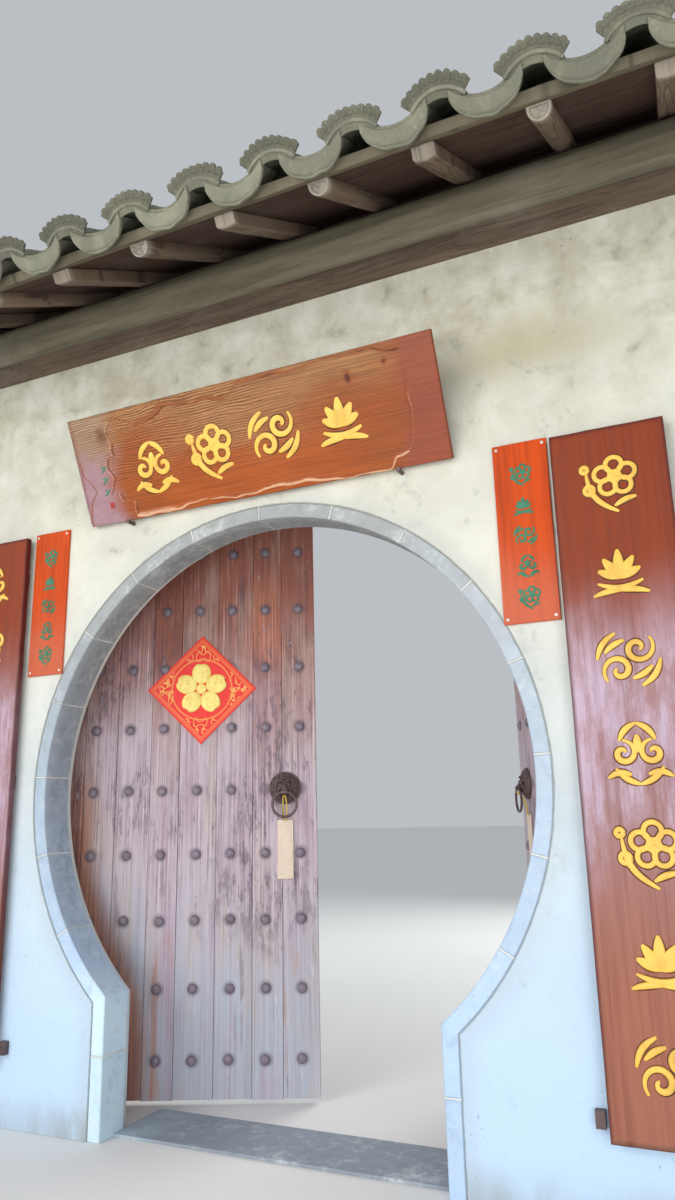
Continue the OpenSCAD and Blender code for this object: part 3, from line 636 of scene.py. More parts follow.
def door_finish(colours, leaf):
    """Old planks: red-brown high up, mauve lightened by a painted sheen in the middle, bleached grey below,
    brown behind the ring, painted shadow round the studs.
    """
    p = Paint("door planks")
    grain = p.grain()
    along, across, own = p.split(grain)
    fibre = p.noise(grain, (1.8, 150, 40), 7.0, 0.7, 0.3)
    ring = p.noise(grain, (0.7, 30, 40), 5.0, 0.6, 1.2)
    cloud = p.noise(grain, (1.9, 3.2, 1), 6.0, 0.65, 0.3)
    lump = p.noise(grain, (5, 15, 3), 6.0, 0.72, 0.4)
    spot = p.noise(grain, (12, 44, 3), 6.0, 0.74)
    hue = p.noise(grain, (1.3, 8, 7), 4.0, 0.6)
    height = along + (cloud - 0.5) * 0.9 + (own - 0.5) * 0.3
    # Painted highlight: the pale mauve of the middle is the planks' mauve lightened by a sheen.
    p.base = p.mix(height.step(0.3, 1.0), colours.door_low, rgb(196, 180, 189))
    p.over(height.step(1.2, 1.8), 170, 130, 124)
    p.over(height.step(1.65, 2.1), colours.door_top)
    p.over(hue.step(0.5, 0.66) * height.fall(1.6, 2.0) * 0.5, 184, 154, 172)
    p.over(hue.fall(0.34, 0.5) * 0.4, 198, 178, 166)
    patch = (along - 1.98).size().fall(0.05, 0.3) * (across - 0.98).size().fall(0.02, 0.12)
    p.over(patch * cloud.step(0.3, 0.6) * 0.65, 214, 134, 100)
    rough = height.step(0.5, 1.1) * (lump * 0.7 + cloud * 0.6).step(0.45, 0.75)
    p.over(fibre.fall(0.34, 0.6) * (rough * 0.5 + 0.2), 88, 70, 74)
    p.over(fibre.step(0.56, 0.7) * (rough * 0.5 + 0.18), 230, 216, 218)
    p.over(ring.step(0.5, 0.72) * 0.22, 112, 88, 94)
    blot = (cloud * 0.4 + lump * 0.3 + spot * 0.5).step(0.62, 0.7) * height.step(0.5, 1.0)
    p.over(blot * height.fall(1.9, 2.2) * 0.65, 84, 70, 84)
    streak = p.noise(grain, (1.3, 26, 9), 4.0, 0.6).step(0.57, 0.68) * lump.step(0.42, 0.6)
    p.over(streak * 0.5, 96, 72, 86)
    shelter = 0.5 - along.step(0.2, 1.0) * 0.27
    rust = (across - shelter + (cloud - 0.5) * 0.12).fall(-0.07, 0.04) * along.fall(1.0, 1.6)
    rusty = p.mix((fibre * 0.6 + ring * 0.5).step(0.45, 0.7), rgb(110, 62, 46), rgb(208, 130, 78))
    p.over(rust * (fibre.step(0.3, 0.6) * 0.3 + 0.6), rusty)
    run = p.noise(grain, (1.1, 9, 5), 4.0, 0.6).step(0.58, 0.7) * along.fall(0.6, 1.0)
    p.over(run * 0.6, 184, 124, 92)
    scuff = (lump * 0.5 + spot * 0.55).step(0.6, 0.68)
    p.over(scuff * 0.35, 224, 216, 222)
    # Painted shadow: a dark ring round each stud on the planks.
    row = ((along - leaf.first_row) / leaf.row_step + 0.5).fraction() - 0.5
    column = ((leaf.last_stud + 20 * leaf.stud_step - across) / leaf.stud_step + 0.5).fraction() - 0.5
    reach = ((row * leaf.row_step) ** 2 + (column * leaf.stud_step) ** 2) ** 0.5
    p.over((reach + (lump - 0.5) * 0.02).fall(leaf.stud * 0.9, leaf.stud * 1.8) * 0.5, 84, 70, 82)
    return p.done(0.6 + scuff * 0.2, fibre * 0.5 + ring * 0.2 - streak * 0.2, 0.002, 0.4)


def tile_finish(colours, name="clay tile", tone=1.0):
    """Unglazed clay tile: grey-green, each of its own tone, with dust, dark stains and lichen spots, and
    painted shade where the mesh is marked.
    """
    p = Paint(name)
    spot = p.place()
    cloud, fine = p.noise(spot, 9.0, 7.0, 0.66, 0.3), p.noise(spot, 75.0, 5.0, 0.65)
    p.ground(p.split(p.grain())[2], colours.tile, 0.8 * tone, 1.1 * tone)
    p.over(cloud.step(0.45, 0.68) * 0.6, shade(colours.dust, tone))
    p.over(cloud.fall(0.3, 0.46) * 0.45, 96, 98, 88)
    p.over(p.noise(spot, 3.1, 6.0, 0.7).step(0.55, 0.68) * 0.35, 88, 92, 82)
    # Painted shade: the mark darkens the lips' grooves, the hollows of the fans and the block inside the
    # ridge.
    p.over(p.mark() * 0.7, shade(colours.tile, 0.34))
    p.over(fine.step(0.58, 0.68) * 0.4, 112, 106, 86)
    p.over(fine.fall(0.3, 0.4) * 0.3, shade(rgb(184, 186, 168), tone))
    return p.done(0.94, cloud * 0.9 + fine * 0.5, 0.005, 0.2)


def iron_finish(colours):
    """Forged iron: dull brown-grey, worn bright in spots, with rust in the pits."""
    p = Paint("forged iron")
    spot = p.place()
    cloud, fine = p.noise(spot, 40.0, 5.0, 0.6), p.noise(spot, 260.0, 4.0, 0.6)
    rust = (cloud * 0.7 + fine * 0.4).step(0.55, 0.72)
    p.base = p.mix(rust, colours.iron, rgb(92, 66, 58))
    p.over(fine.step(0.6, 0.75) * 0.25, 150, 146, 150)
    return p.done(0.5 + rust * 0.3, cloud + fine * 0.5, 0.0012, metal=0.55)


def sign_finish(colours):
    """Varnished board: rippled grain, orange-brown below, plum at the right, carving with a cream painted
    highlight on its ridges and painted shade deep in its gouges.
    """
    p = Paint("varnished signboard")
    grain = p.grain()
    along, across, _ = p.split(grain)
    cloud, fine = p.noise(grain, (2.4, 5.0, 1), 5.0, 0.6, 0.5), p.noise(grain, (14, 26, 1), 5.0, 0.65)
    fibre = p.noise(grain, (3.0, 120, 1), 6.0, 0.7, 0.3)
    bent = along + (cloud - 0.5) * 0.3
    curve = across + (p.noise(grain, (1.6, 5.0, 1), 3.0) - 0.5) * 0.08
    ripple = (curve * 640 + (p.noise(grain, (6, 24, 1), 4.0, 0.6) - 0.5) * 10).sine()
    strong = (across + (cloud - 0.5) * 0.3).step(0.1, 0.24) * bent.fall(-0.15, 0.4) * fine.step(0.36, 0.56)
    strong = strong * 0.24 + 0.03
    tone = (ripple * strong + fibre * 0.7 + cloud * 0.2).step(0.22, 0.7)
    p.ground(tone, colours.varnish, 0.55, 1.05)
    tan = p.mix(tone, rgb(112, 74, 42), rgb(182, 134, 88))
    p.over((cloud * 0.8 + across * 1.6 - bent.size() * 0.3).step(0.55, 0.95) * 0.8, tan)
    glow = (across + (cloud - 0.5) * 0.2).fall(0.1, 0.27) * bent.step(-0.5, -0.2) * bent.fall(0.3, 0.6)
    p.over(glow * 0.7, p.mix(tone, rgb(136, 56, 12), rgb(190, 94, 28)))
    p.over(bent.step(0.58, 0.7) * 0.85, p.mix(tone, shade(colours.plum, 0.7), shade(colours.plum, 1.2)))
    mauve = p.mix(fine, rgb(144, 108, 116), rgb(182, 154, 164))
    grey = p.mix(tone, rgb(130, 100, 78), rgb(176, 148, 122))
    p.over(bent.fall(-0.68, -0.55) * 0.85, p.mix((across + (fine - 0.5) * 0.2).step(0.2, 0.34), mauve, grey))
    p.over((along + 0.8 + (fine - 0.5) * 0.02).fall(0.0, 0.03) * 0.5, 110, 52, 46)
    knot = p.away(grain, (-0.645, 0.36, 0), (1, 0.8, 0))
    p.over((knot + (fine - 0.5) * 0.06).fall(0.0, 0.045) * 0.8, 104, 60, 30)
    # Painted light: the mark is positive on the carved ridges, laid with a cream highlight, and negative in
    # the gouges, hollows and trough, which deepen from orange-brown to painted shade.
    carved = p.mark()
    sunk = carved * -1.0
    p.over(sunk.step(0.1, 0.4) * 0.85, p.mix(fibre, rgb(110, 56, 28), rgb(166, 98, 52)))
    p.over(sunk.step(0.55, 0.95) * 0.85, 76, 32, 20)
    p.over(carved.step(0.25, 0.75) * (fine * 0.7 + 0.45), colours.cream_highlight)
    return p.done(0.42 + fibre * 0.2 + carved.size() * 0.1, fibre * 0.5 + ripple * strong * 1.5, 0.0016, 0.3)


def couplet_finish():
    """Varnished long board: mahogany above, plum with a painted milky sheen in the middle and rust brown
    below.
    """
    p = Paint("varnished long board")
    grain = p.grain()
    along = p.split(grain)[0]
    fibre, veil = p.noise(grain, (1.8, 70, 3), 6.0, 0.68), p.noise(grain, (5, 18, 2), 5.0, 0.7)
    cloud = p.noise(grain, (1.6, 3.0, 2), 5.0, 0.6)
    height = along + (cloud - 0.5) * 0.5
    p.base = p.mix(height.step(1.55, 1.95), rgb(158, 118, 118), rgb(136, 56, 22))
    p.over(height.fall(0.55, 1.2) * 0.9, 160, 98, 74)
    # Painted highlight: a milky sheen over the middle of the board.
    painted_sheen = height.step(0.85, 1.15) * height.fall(1.5, 1.8) * (veil * 0.8 + cloud * 0.4).step(0.45, 0.75)
    p.over(painted_sheen * 0.8, 202, 182, 202)
    p.over(fibre.fall(0.3, 0.6) * 0.35, 96, 40, 30)
    p.over((along + cloud * 0.03).fall(0.235, 0.262) * veil.step(0.35, 0.5) * 0.6, 190, 160, 128)
    p.over(p.mark(), 78, 26, 26)
    return p.done(0.45 + fibre * 0.2, fibre + cloud * 0.5, 0.0014, 0.3)


def painted_finish(name, colour, worn, rough=0.5, scale=14.0):
    """Brushed paint with a worn tone where it is thin: a colour, or a number times the first."""
    p = Paint(name)
    spot = p.place()
    cloud, brush = p.noise(spot, scale, 5.0, 0.6), p.noise(spot, (30, 30, 3), 5.0, 0.6)
    worn = shade(colour, worn) if isinstance(worn, float) else rgb(*worn)
    p.base = p.mix((cloud * 0.6 + brush * 0.5).step(0.45, 0.75), colour, worn)
    return p.done(rough + cloud * 0.15, cloud + brush * 0.6, 0.001)


def orange_finish(colours):
    """Glossy orange board: brush streaks along it and a paler, redder lower half."""
    p = Paint("orange board")
    grain = p.grain()
    fibre, cloud = p.noise(grain, (2.5, 60, 3), 5.0, 0.6), p.noise(grain, (3, 6, 2), 5.0)
    p.ground((fibre * 0.7 + cloud * 0.4).step(0.35, 0.7), colours.orange, 0.66, 1.05)
    p.over((p.split(grain)[0] + (cloud - 0.5) * 0.3).fall(1.78, 2.08) * 0.7, 198, 104, 76)
    return p.done(0.45 + fibre * 0.15, fibre, 0.0008, 0.25)


def paper_finish(colours):
    """Red paper printed in gold: a double border, curls in each corner and a ring in the middle."""
    p = Paint("red paper")
    grain = p.grain()
    a, b, _ = p.split(grain)
    edge = a.size().above(b.size())
    border = (edge - 0.153).size().step(0.0, 0.0022) * (edge - 0.161).size().step(0.0, 0.0016)
    curl = (a * 98 + (b * 124).sine() * 1.6).sine() + (b * 106 + (a * 118).sine() * 1.6).sine()
    scroll = (curl - 0.4).size().fall(0.3, 0.5)
    corner = (a.size() + b.size()).step(0.17, 0.19) * edge.fall(0.144, 0.149)
    ring = ((a * a + b * b) - 0.0182).size().fall(0.0005, 0.0011) * 0.6
    printed = (1 - border).above(scroll * corner).above(ring)
    p.base = p.mix(printed * 0.85, colours.paper, rgb(240, 186, 92))
    crease = p.noise(grain, 30.0)
    p.over(crease.step(0.55, 0.8) * 0.25, shade(colours.paper, 0.7))
    return p.done(0.45, crease, 0.001)


FINISHES = {}


def finishes(scene):
    """All materials of the object, made once."""
    if FINISHES:
        return FINISHES
    c, wood, paint = scene.gate_colours, old_wood_finish, painted_finish
    FINISHES.update(
        plaster=plaster_finish(c, scene.gate_wall),
        stone=stone_finish(c),
        # Painted light: the floor stone's low colour is a greyer bluish cast of daylight.
        paving=stone_finish(c, "floor stone", 0.66, (172, 184, 198)),
        joint=mortar_finish("joint mortar", 226, 226, 218),
        bed=mortar_finish("roof mortar", 140, 136, 118, 0.01),
        log=wood("weathered log", c.log, (1.4, 20, 20), checks=0.22, worn=0.45),
        plate=wood("wall plate", shade(c.rafter, 0.8), (2.2, 26, 26), checks=0.3),
        beam=wood("head beam", shade(c.rafter, 0.8), (2.2, 30, 30)),
        rafter=wood("rafter", c.rafter, (1.8, 30, 30), True, 0.6, 0.25, rgb(196, 190, 176)),
        boarding=wood("boarding", c.dark_wood, (2.0, 40, 40), True, worn=0.12),
        eave=wood("eave board", rgb(122, 114, 94), (3.0, 34, 34), True),
        post=wood("pivot post", rgb(112, 84, 78), (40, 40, 2.2), worn=0.1),
        batten=wood("leaf battens", rgb(108, 84, 74), (2.2, 50, 20), True, worn=0.15),
        strip=wood("board battens", c.dark_wood, (2.0, 40, 40)),
        door=door_finish(c, scene.gate_leaves),
        tile=tile_finish(c),
        # Painted shade: the fan tiles are a darker copy of the tile finish.
        fan=tile_finish(c, "fan tile", 0.74),
        iron=iron_finish(c),
        sign=sign_finish(c),
        couplet=couplet_finish(),
        orange=orange_finish(c),
        paper=paper_finish(c),
        gold=paint("gilding", c.gold, 0.72, 0.38),
        # Painted shadow, in part: the dark outlines under the gilded ornaments.
        shadow=paint("dark outline", rgb(82, 44, 18), (52, 26, 12), 0.6),
        green=paint("green paint", c.green, 0.6),
        screw=paint("white screws", rgb(226, 224, 214), (180, 178, 170), 0.4),
        label=paint("bare slip", c.label, 0.86, 0.6, 40.0),
        tie=paint("yellow tie", rgb(222, 192, 84), (180, 150, 60), 0.6),
        seal=paint("red lacquer", rgb(176, 46, 40), (140, 30, 28)),
        foil=paint("gold foil", c.foil, (226, 190, 92), 0.35, 60.0),
        stud=paint("stud iron", c.stud, 0.6, 0.36, 45.0),
    )
    return FINISHES


def dress(finish, *names):
    """Gives CAD nodes a finish."""
    for name in names:
        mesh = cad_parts[name].data
        mesh.materials.clear()
        mesh.materials.append(finish)


# Stone ring


def ring_edge(radius, wall, count):
    """Points down the last ring stone: an arc from its joint to the corner, then a straight jamb."""
    half = wall.jamb + radius - wall.ring
    low = math.pi / 2 - wall.stones * wall.step
    corner = -math.acos(half / radius)
    arc = np.linspace(low - wall.joint / 2 / wall.ring, corner, count)
    down = np.linspace(wall.centre + radius * math.sin(corner), wall.foot + wall.joint / 2, count)[1:]
    x = np.concatenate([radius * np.cos(arc), np.full(count - 1, half)])
    z = np.concatenate([wall.centre + radius * np.sin(arc), down])
    return np.stack([x, z], -1)


def ring_stones(wall, f):
    """Wedge stones between two arcs, and on each side a bent corner stone and an upright foot stone."""
    stones, bevel, wear = Shape(), 0.0035, 0.0012
    far = wall.depth - wall.face
    low, half = math.pi / 2 - wall.stones * wall.step, wall.joint / 2 / wall.ring
    radii = np.linspace(wall.ring, wall.ring + wall.band, 4)
    turn = low + by_copy(np.arange(2 * wall.stones)) * wall.step + half
    turn = turn + by_row(np.linspace(0, 1, 13)) * (wall.step - 2 * half)
    own = np.random.default_rng(4).uniform(0, 1, (2 * wall.stones, 1, 1))
    worn = np.abs(wear * waves(turn * 9, radii * 30, 3) - 0.0008)
    x, z = radii * np.cos(turn), wall.centre + radii * np.sin(turn)
    stones.slab(mesh_of(x, worn - wall.face, z), mesh_of(x, far, z), bevel, (turn, radii, own))
    share = by_row(np.linspace(0, 1, 4))
    inner, outer = (ring_edge(radius, wall, 9)[:, None] for radius in (wall.ring, wall.ring + wall.band))
    bent = inner * (1 - share) + outer * share
    foot_x = np.linspace(wall.jamb, wall.jamb + wall.band, 4)[None]
    foot_z = np.linspace(0, wall.foot - wall.joint / 2, 8)[:, None]
    for side in (-1, 1):
        for x, z, tone in ((side * bent[..., 0], bent[..., 1], 0.3), (side * foot_x, foot_z, 0.7)):
            stones.slab(mesh_of(x, -wall.face, z), mesh_of(x, far, z), bevel, (x, z, tone))
    covers = ("ring_stones_left", "ring_stones_right", "jamb_stones")
    stones.build("ring_stones", f["stone"], "grey_stone", covers)


def ring_joints(wall, f):
    """Mortar between the stones, a little behind their faces."""
    joints, sunk = Shape(), 0.0012
    near, far = sunk - wall.face, wall.depth - wall.face
    low, half = math.pi / 2 - wall.stones * wall.step, wall.joint / 2 / wall.ring
    turn = low + by_copy(np.arange(2 * wall.stones + 1)) * wall.step + by_row((-half, half))
    radius = np.linspace(wall.ring + sunk, wall.ring + wall.band, 3)
    x, z = radius * np.cos(turn), wall.centre + radius * np.sin(turn)
    joints.slab(mesh_of(x, near, z), mesh_of(x, far, z))
    x = by_copy((-1, 1)) * by_column(np.linspace(wall.jamb + sunk, wall.jamb + wall.band, 3))
    z = wall.foot + wall.joint * by_row((-0.5, 0.5))
    joints.slab(mesh_of(x, near, z), mesh_of(x, far, z))
    joints.build("ring_joints", f["joint"], "mortar")


# Leaves


def planks(side, leaf, f, dice, seed):
    """Planks of uneven width, dished across by a square of the place and wavy along by sine waves."""
    uneven, bevel, sunk, face = 0.016, 0.0016, 0.0016, -leaf.thick / 2
    cuts = np.linspace(leaf.near, leaf.reach, leaf.planks + 1)
    cuts[1:-1] += dice.uniform(-uneven, uneven, leaf.planks - 1)
    t, s = by_row(np.linspace(0, 1, 57)), by_column(np.linspace(0, 1, 8))
    sag = dice.uniform(0, 0.004, (leaf.planks, 1, 1))
    own = dice.uniform(0, 1, (leaf.planks, 1, 1))
    u = by_copy(cuts[:-1]) + leaf.gap / 2 + s * by_copy(np.diff(cuts) - leaf.gap)
    z = leaf.low + sag + t * (leaf.high - leaf.low - sag)
    dish = 0.0022 * (2 * s - 1) ** 2 - 0.001 * waves(z * 3 + own * 9, u * 30, seed)
    v = np.maximum(face + sunk - 0.6 * dish * np.sign(own - 0.35), face)
    shape = Shape()
    shape.slab(on_leaf(side, leaf, u, v, z), on_leaf(side, leaf, u, -face, z), bevel, (z, u, own))
    shape.build(f"planks_{side}", f["door"], "door_wood", (f"leaf_{side}",), f"{side}_leaf")


def studs(side, leaf, f, dice):
    """Domed studs in rows and columns, as turned profiles, none under the knocker or the paper."""
    knocker_clear, paper_clear = 0.09, 0.25
    columns = leaf.last_stud - leaf.stud_step * np.arange(leaf.planks)
    rows = leaf.first_row + leaf.row_step * np.arange(leaf.rows)
    spot = mesh_of(columns[:, None], -rows[None]).reshape(-1, 2)
    spot += dice.uniform(-0.003, 0.003, (len(spot), 2))
    away = np.hypot(spot[:, 0] - leaf.knock, spot[:, 1] + leaf.knock_high) > knocker_clear
    if side == "left":
        away &= np.abs(spot[:, 0] - leaf.paper_in) + np.abs(spot[:, 1] + leaf.paper_high) > paper_clear
    dome = ((1, -0.004), (1, 0.001), (0.94, 0.0045), (0.72, 0.0085), (0.4, 0.0112), (0.12, 0.012))
    across, down, out = parts(turned([(leaf.stud * share, height) for share, height in dome], spot[away]))
    shape = Shape()
    shape.round(on_leaf(side, leaf, across, -leaf.thick / 2 - out, -down))
    shape.build(f"studs_{side}", f["stud"], "black_iron", body=f"{side}_leaf")


def back_battens(side, leaf, f):
    """Battens across the back of the planks, with a slightly wavy face."""
    rows = by_copy(leaf.first_row + leaf.row_step * np.arange(leaf.rows))
    start, end, half, bevel, back = 0.04, leaf.reach - 0.02, 0.03, 0.004, leaf.thick / 2
    t = by_row(np.linspace(start, end, 25))
    z = rows + by_column(np.linspace(-half, half, 4))
    out = back + leaf.batten - np.abs(0.0008 * waves(t * 8 + z * 5, z * 40, 11))
    shape = Shape()
    shape.slab(on_leaf(side, leaf, t, out, z), on_leaf(side, leaf, t, back, z), bevel, (t, z, rows))
    shape.build(f"back_battens_{side}", f["batten"], "door_wood", (f"battens_{side}",), f"{side}_leaf")


# Radius, height and depth of the locks, from the mane's inner edge over its crest to its back
MANE = ((0.03, 0.0045, 0), (0.034, 0.02, 0.1), (0.039, 0.0235, 0.5), (0.044, 0.0215, 0.9), (0.049, 0.018, 1),
        (0.054, 0.015, 1), (0.059, 0.012, 0.9), (0.063, 0.0085, 0.6), (0.0655, 0.005, 0), (0.064, 0.0045, 0),
        (0.05, 0.0045, 0), (0.03, 0.0045, 0))


def mane(side, leaf, f):
    """A turned profile with a sine wave round it for twisted locks, and swept brows and jaws inside it."""
    shape, place = Shape(), partial(on_plate, side, leaf)
    turn = circle(144)[None]
    radius, swell, locks = np.array(MANE).T[:, :, None]
    height = swell + 0.0028 * locks * np.sin(16 * turn + 90 * radius)
    shape.round(place(radius * np.cos(turn), radius * np.sin(turn), height))
    t = np.linspace(0, 1, 9)
    arch = np.sin(3.1 * t)
    for mirror in (-1, 1):
        brow = mesh_of(mirror * (0.006 + 0.026 * t), 0.024 + 0.008 * arch, 0.034 - 0.012 * t)
        jaw = mesh_of(mirror * (0.014 + 0.014 * arch), 0.006 - 0.044 * t, 0.03 - 0.008 * t)
        for path, size in ((brow, 0.0045), (jaw, 0.0055)):
            shape.round(place(*parts(tube(path, size * np.sin(0.5 + 2.2 * t), (0, 0, 1), 10))))
    shape.build(f"knocker_mane_{side}", f["iron"], "black_iron", body=f"{side}_leaf")


def slip(side, leaf, f):
    """A thin bare board below the knocker, slightly waved by a sine."""
    place, low, high, half, bevel = partial(on_plate, side, leaf), -0.377, -0.134, 0.0345, 0.0006
    s, t = np.linspace(-half, half, 5)[None], np.linspace(low, high, 15)[:, None]
    lift = 0.0035 + 0.0015 * np.sin(6 * t + 20 * s)
    shape = Shape()
    shape.slab(place(s, t, lift + 0.003), place(s, t, lift - 0.001), bevel)
    shape.build(f"bare_slip_{side}", f["label"], "orange_board", body=f"{side}_leaf")


def slip_tie(side, leaf, f):
    """Two cords from the knocker to the slip, tubes along a falling curve that passes behind the ring."""
    tie, t = Shape(), np.linspace(0, 1, 15)
    for shift, sway in ((-0.004, 0.003), (0.004, -0.002)):
        across = shift * (1 + 1.5 * np.sin(3 * t)) + sway * t
        cord = mesh_of(across, -0.034 - 0.104 * t, 0.0085 + 0.0435 * (1 - t) ** 2.6)
        tie.round(on_plate(side, leaf, *parts(tube(cord, 0.0034 - 0.0012 * t, (1, 0, 0), 8))))
    tie.build(f"slip_tie_{side}", f["tie"], "orange_board", body=f"{side}_leaf")


def red_paper(leaf, f):
    """A square of paper on its corner, with creases as waves and corners that lift."""
    place, half, thick = partial(on_leaf, "left", leaf), leaf.paper / 2, 0.0005
    a, b = np.linspace(-half, half, 27)[:, None], np.linspace(-half, half, 27)[None]
    u, z = leaf.paper_in + (a - b) * math.sqrt(0.5), leaf.paper_high + (a + b) * math.sqrt(0.5)
    lift = 0.0016 + 0.0012 * np.abs(waves(a * 22, b * 22, 5)) + 0.006 * np.clip(np.hypot(a, b) - 0.17, 0, 1)
    v = -leaf.thick / 2 - lift
    shape = Shape()
    shape.slab(place(u, v - thick, z), place(u, v, z), 0.0001, (a, b, 0))
    shape.build("red_paper", f["paper"], "orange_board", body="left_leaf")


def rosette(leaf, f):
    """Five domed petals, notched at their tips, round a domed middle."""
    shape, turn = Shape(), circle(32)[None]
    share = np.array([0.999, 1.0, 0.93, 0.75, 0.5, 0.25, 0.05])[:, None]
    height = np.array([0.0, 0.004, 0.0072, 0.0084, 0.0092, 0.0096, 0.0098])[:, None]
    notch = 1 - 0.16 * bell(np.minimum(turn, 2 * math.pi - turn), 0.3)
    v = -leaf.thick / 2 - 0.002 - height
    for number in range(6):
        out, wide, tall, dent = (0.071, 0.0425, 0.048, notch) if number < 5 else (0, 0.023, 0.023, 1)
        x, z = share * wide * np.sin(turn) * dent, out + share * tall * np.cos(turn) * dent
        c, w = math.cos(number * 2 * math.pi / 5), math.sin(number * 2 * math.pi / 5)
        u, up = leaf.paper_in - 0.002 + x * c + z * w, leaf.paper_high + 0.002 - x * w + z * c
        shape.round(on_leaf("left", leaf, u, v, up))
    shape.build("paper_rosette", f["foil"], "orange_board", body="left_leaf")


# Roof


def slope_end(roof, n):
    """Distance up the slope to the wall's middle, at a height n above the rafters' undersides."""
    return (roof.eave + n * math.sin(roof.slope)) / math.cos(roof.slope)


def tiles_end(roof):
    """Distance up the slope to the uppermost course of tiles, beside the ridge."""
    return slope_end(roof, 0.12) - 0.064 / math.cos(roof.slope)


def tile_courses(kind, side, label, roof, f, dice):
    """Curved tiles, each over the one below: arcs of a circle, lifted towards the lower end."""
    if kind == "pan":
        count, radius, hollow, half, start, lift = 2 * roof.rows + 1, roof.pan, 1, 0.728, -0.072, 0.0105
        centre = roof.bed + roof.pan + 0.0012
    else:
        count, radius, hollow, half, start, lift = 2 * roof.rows + 2, roof.cover, -1, 0.872, -0.078, 0.0085
        centre = roof.bed - roof.sunk
    top, overlap, slip_by, bevel = tiles_end(roof), 0.035, 0.002, 0.0022
    courses = int((top - start) / roof.course)
    step = (top - start) / courses
    many = (count * courses, 1, 1)
    x = by_copy(np.repeat((np.arange(count) - (count - 1) / 2) * roof.pitch, courses))
    x = x + dice.uniform(-slip_by, slip_by, many)
    own = dice.uniform(0, 1, many)
    s0 = by_copy(np.tile(start + step * np.arange(courses), count))
    s1 = np.minimum(s0 + step + overlap, top + 0.004)
    s0 = s0 + dice.uniform(-0.003, 0.003, many)
    turn, t = by_column(np.linspace(-half, half, 13)), by_row((0.0, 0.35, 1.0))
    s, n = s0 + t * (s1 - s0), centre + lift * (1 - t)
    outer, inner = (on_roof(roof, side, x + r * np.sin(turn), s, n - hollow * r * np.cos(turn))
                    for r in (radius, radius - roof.tile))
    shape = Shape()
    shape.slab(outer, inner, bevel, (x, s, own))
    shape.build(f"{kind}_courses_{label}", f["tile"], "grey_tile", (f"{kind}_tiles_{label}",))


def drip_lips(side, label, roof, f, dice):
    """Lips below the pan tiles: from the tile's arc to a hanging curve, grooved, rimmed, chipped by waves."""
    count, reach, tip, hangs = 2 * roof.rows + 1, 0.112, roof.bed + 0.060, 0.048
    face, behind, bevel = -0.0815, -0.066, 0.0028
    across = by_column(np.sin(np.linspace(-1.45, 1.45, 41)))
    down = by_row((0, 0.2, 0.4, 0.58, 0.7, 0.77, 0.82, 0.87, 0.93, 1))
    x0 = by_copy((np.arange(count) - roof.rows) * roof.pitch) + dice.uniform(-0.004, 0.004, (count, 1, 1))
    w = across * reach
    rise = roof.bed + roof.pan - np.sqrt((roof.pan - roof.tile) ** 2 - w ** 2)
    rise = np.minimum(rise, tip + 0.004 * across)
    chip = 0.0025 * waves(across * 9 + x0 * 5, across * 4 + x0, 16)
    chip = chip + 0.0055 * np.minimum(waves(across * 11 + x0 * 13, x0 * 3, 23), 0)
    tilt = dice.uniform(-0.006, 0.006, (count, 1, 1)) * across
    hang = np.sqrt(np.clip(1 - (across * 0.985) ** 2, 0, 1)) ** 0.86
    low = tip + tilt - (tip - roof.bed + hangs + chip) * hang
    n = rise + (np.minimum(low, rise) - rise) * down
    groove = bell(down - 0.8, 0.035) * (1 - across ** 2)
    raised = 0.0028 * (down > 0.85) * (1 - across ** 4)
    dent = 0.0022 * waves(across * 5 + x0 * 7, down * 3, 15) + 0.003 * groove - raised
    front, back = (on_roof(roof, side, x0 + w, s, n) for s in (face + dent, behind))
    own = dice.uniform(0, 1, (count, 1, 1))
    shape = Shape()
    # Painted shade: the mark darkens the groove.
    shape.slab(front, back, bevel, (w, down, own), 0.6 * groove)
    shape.build(f"drip_lips_{label}", f["tile"], "grey_tile")


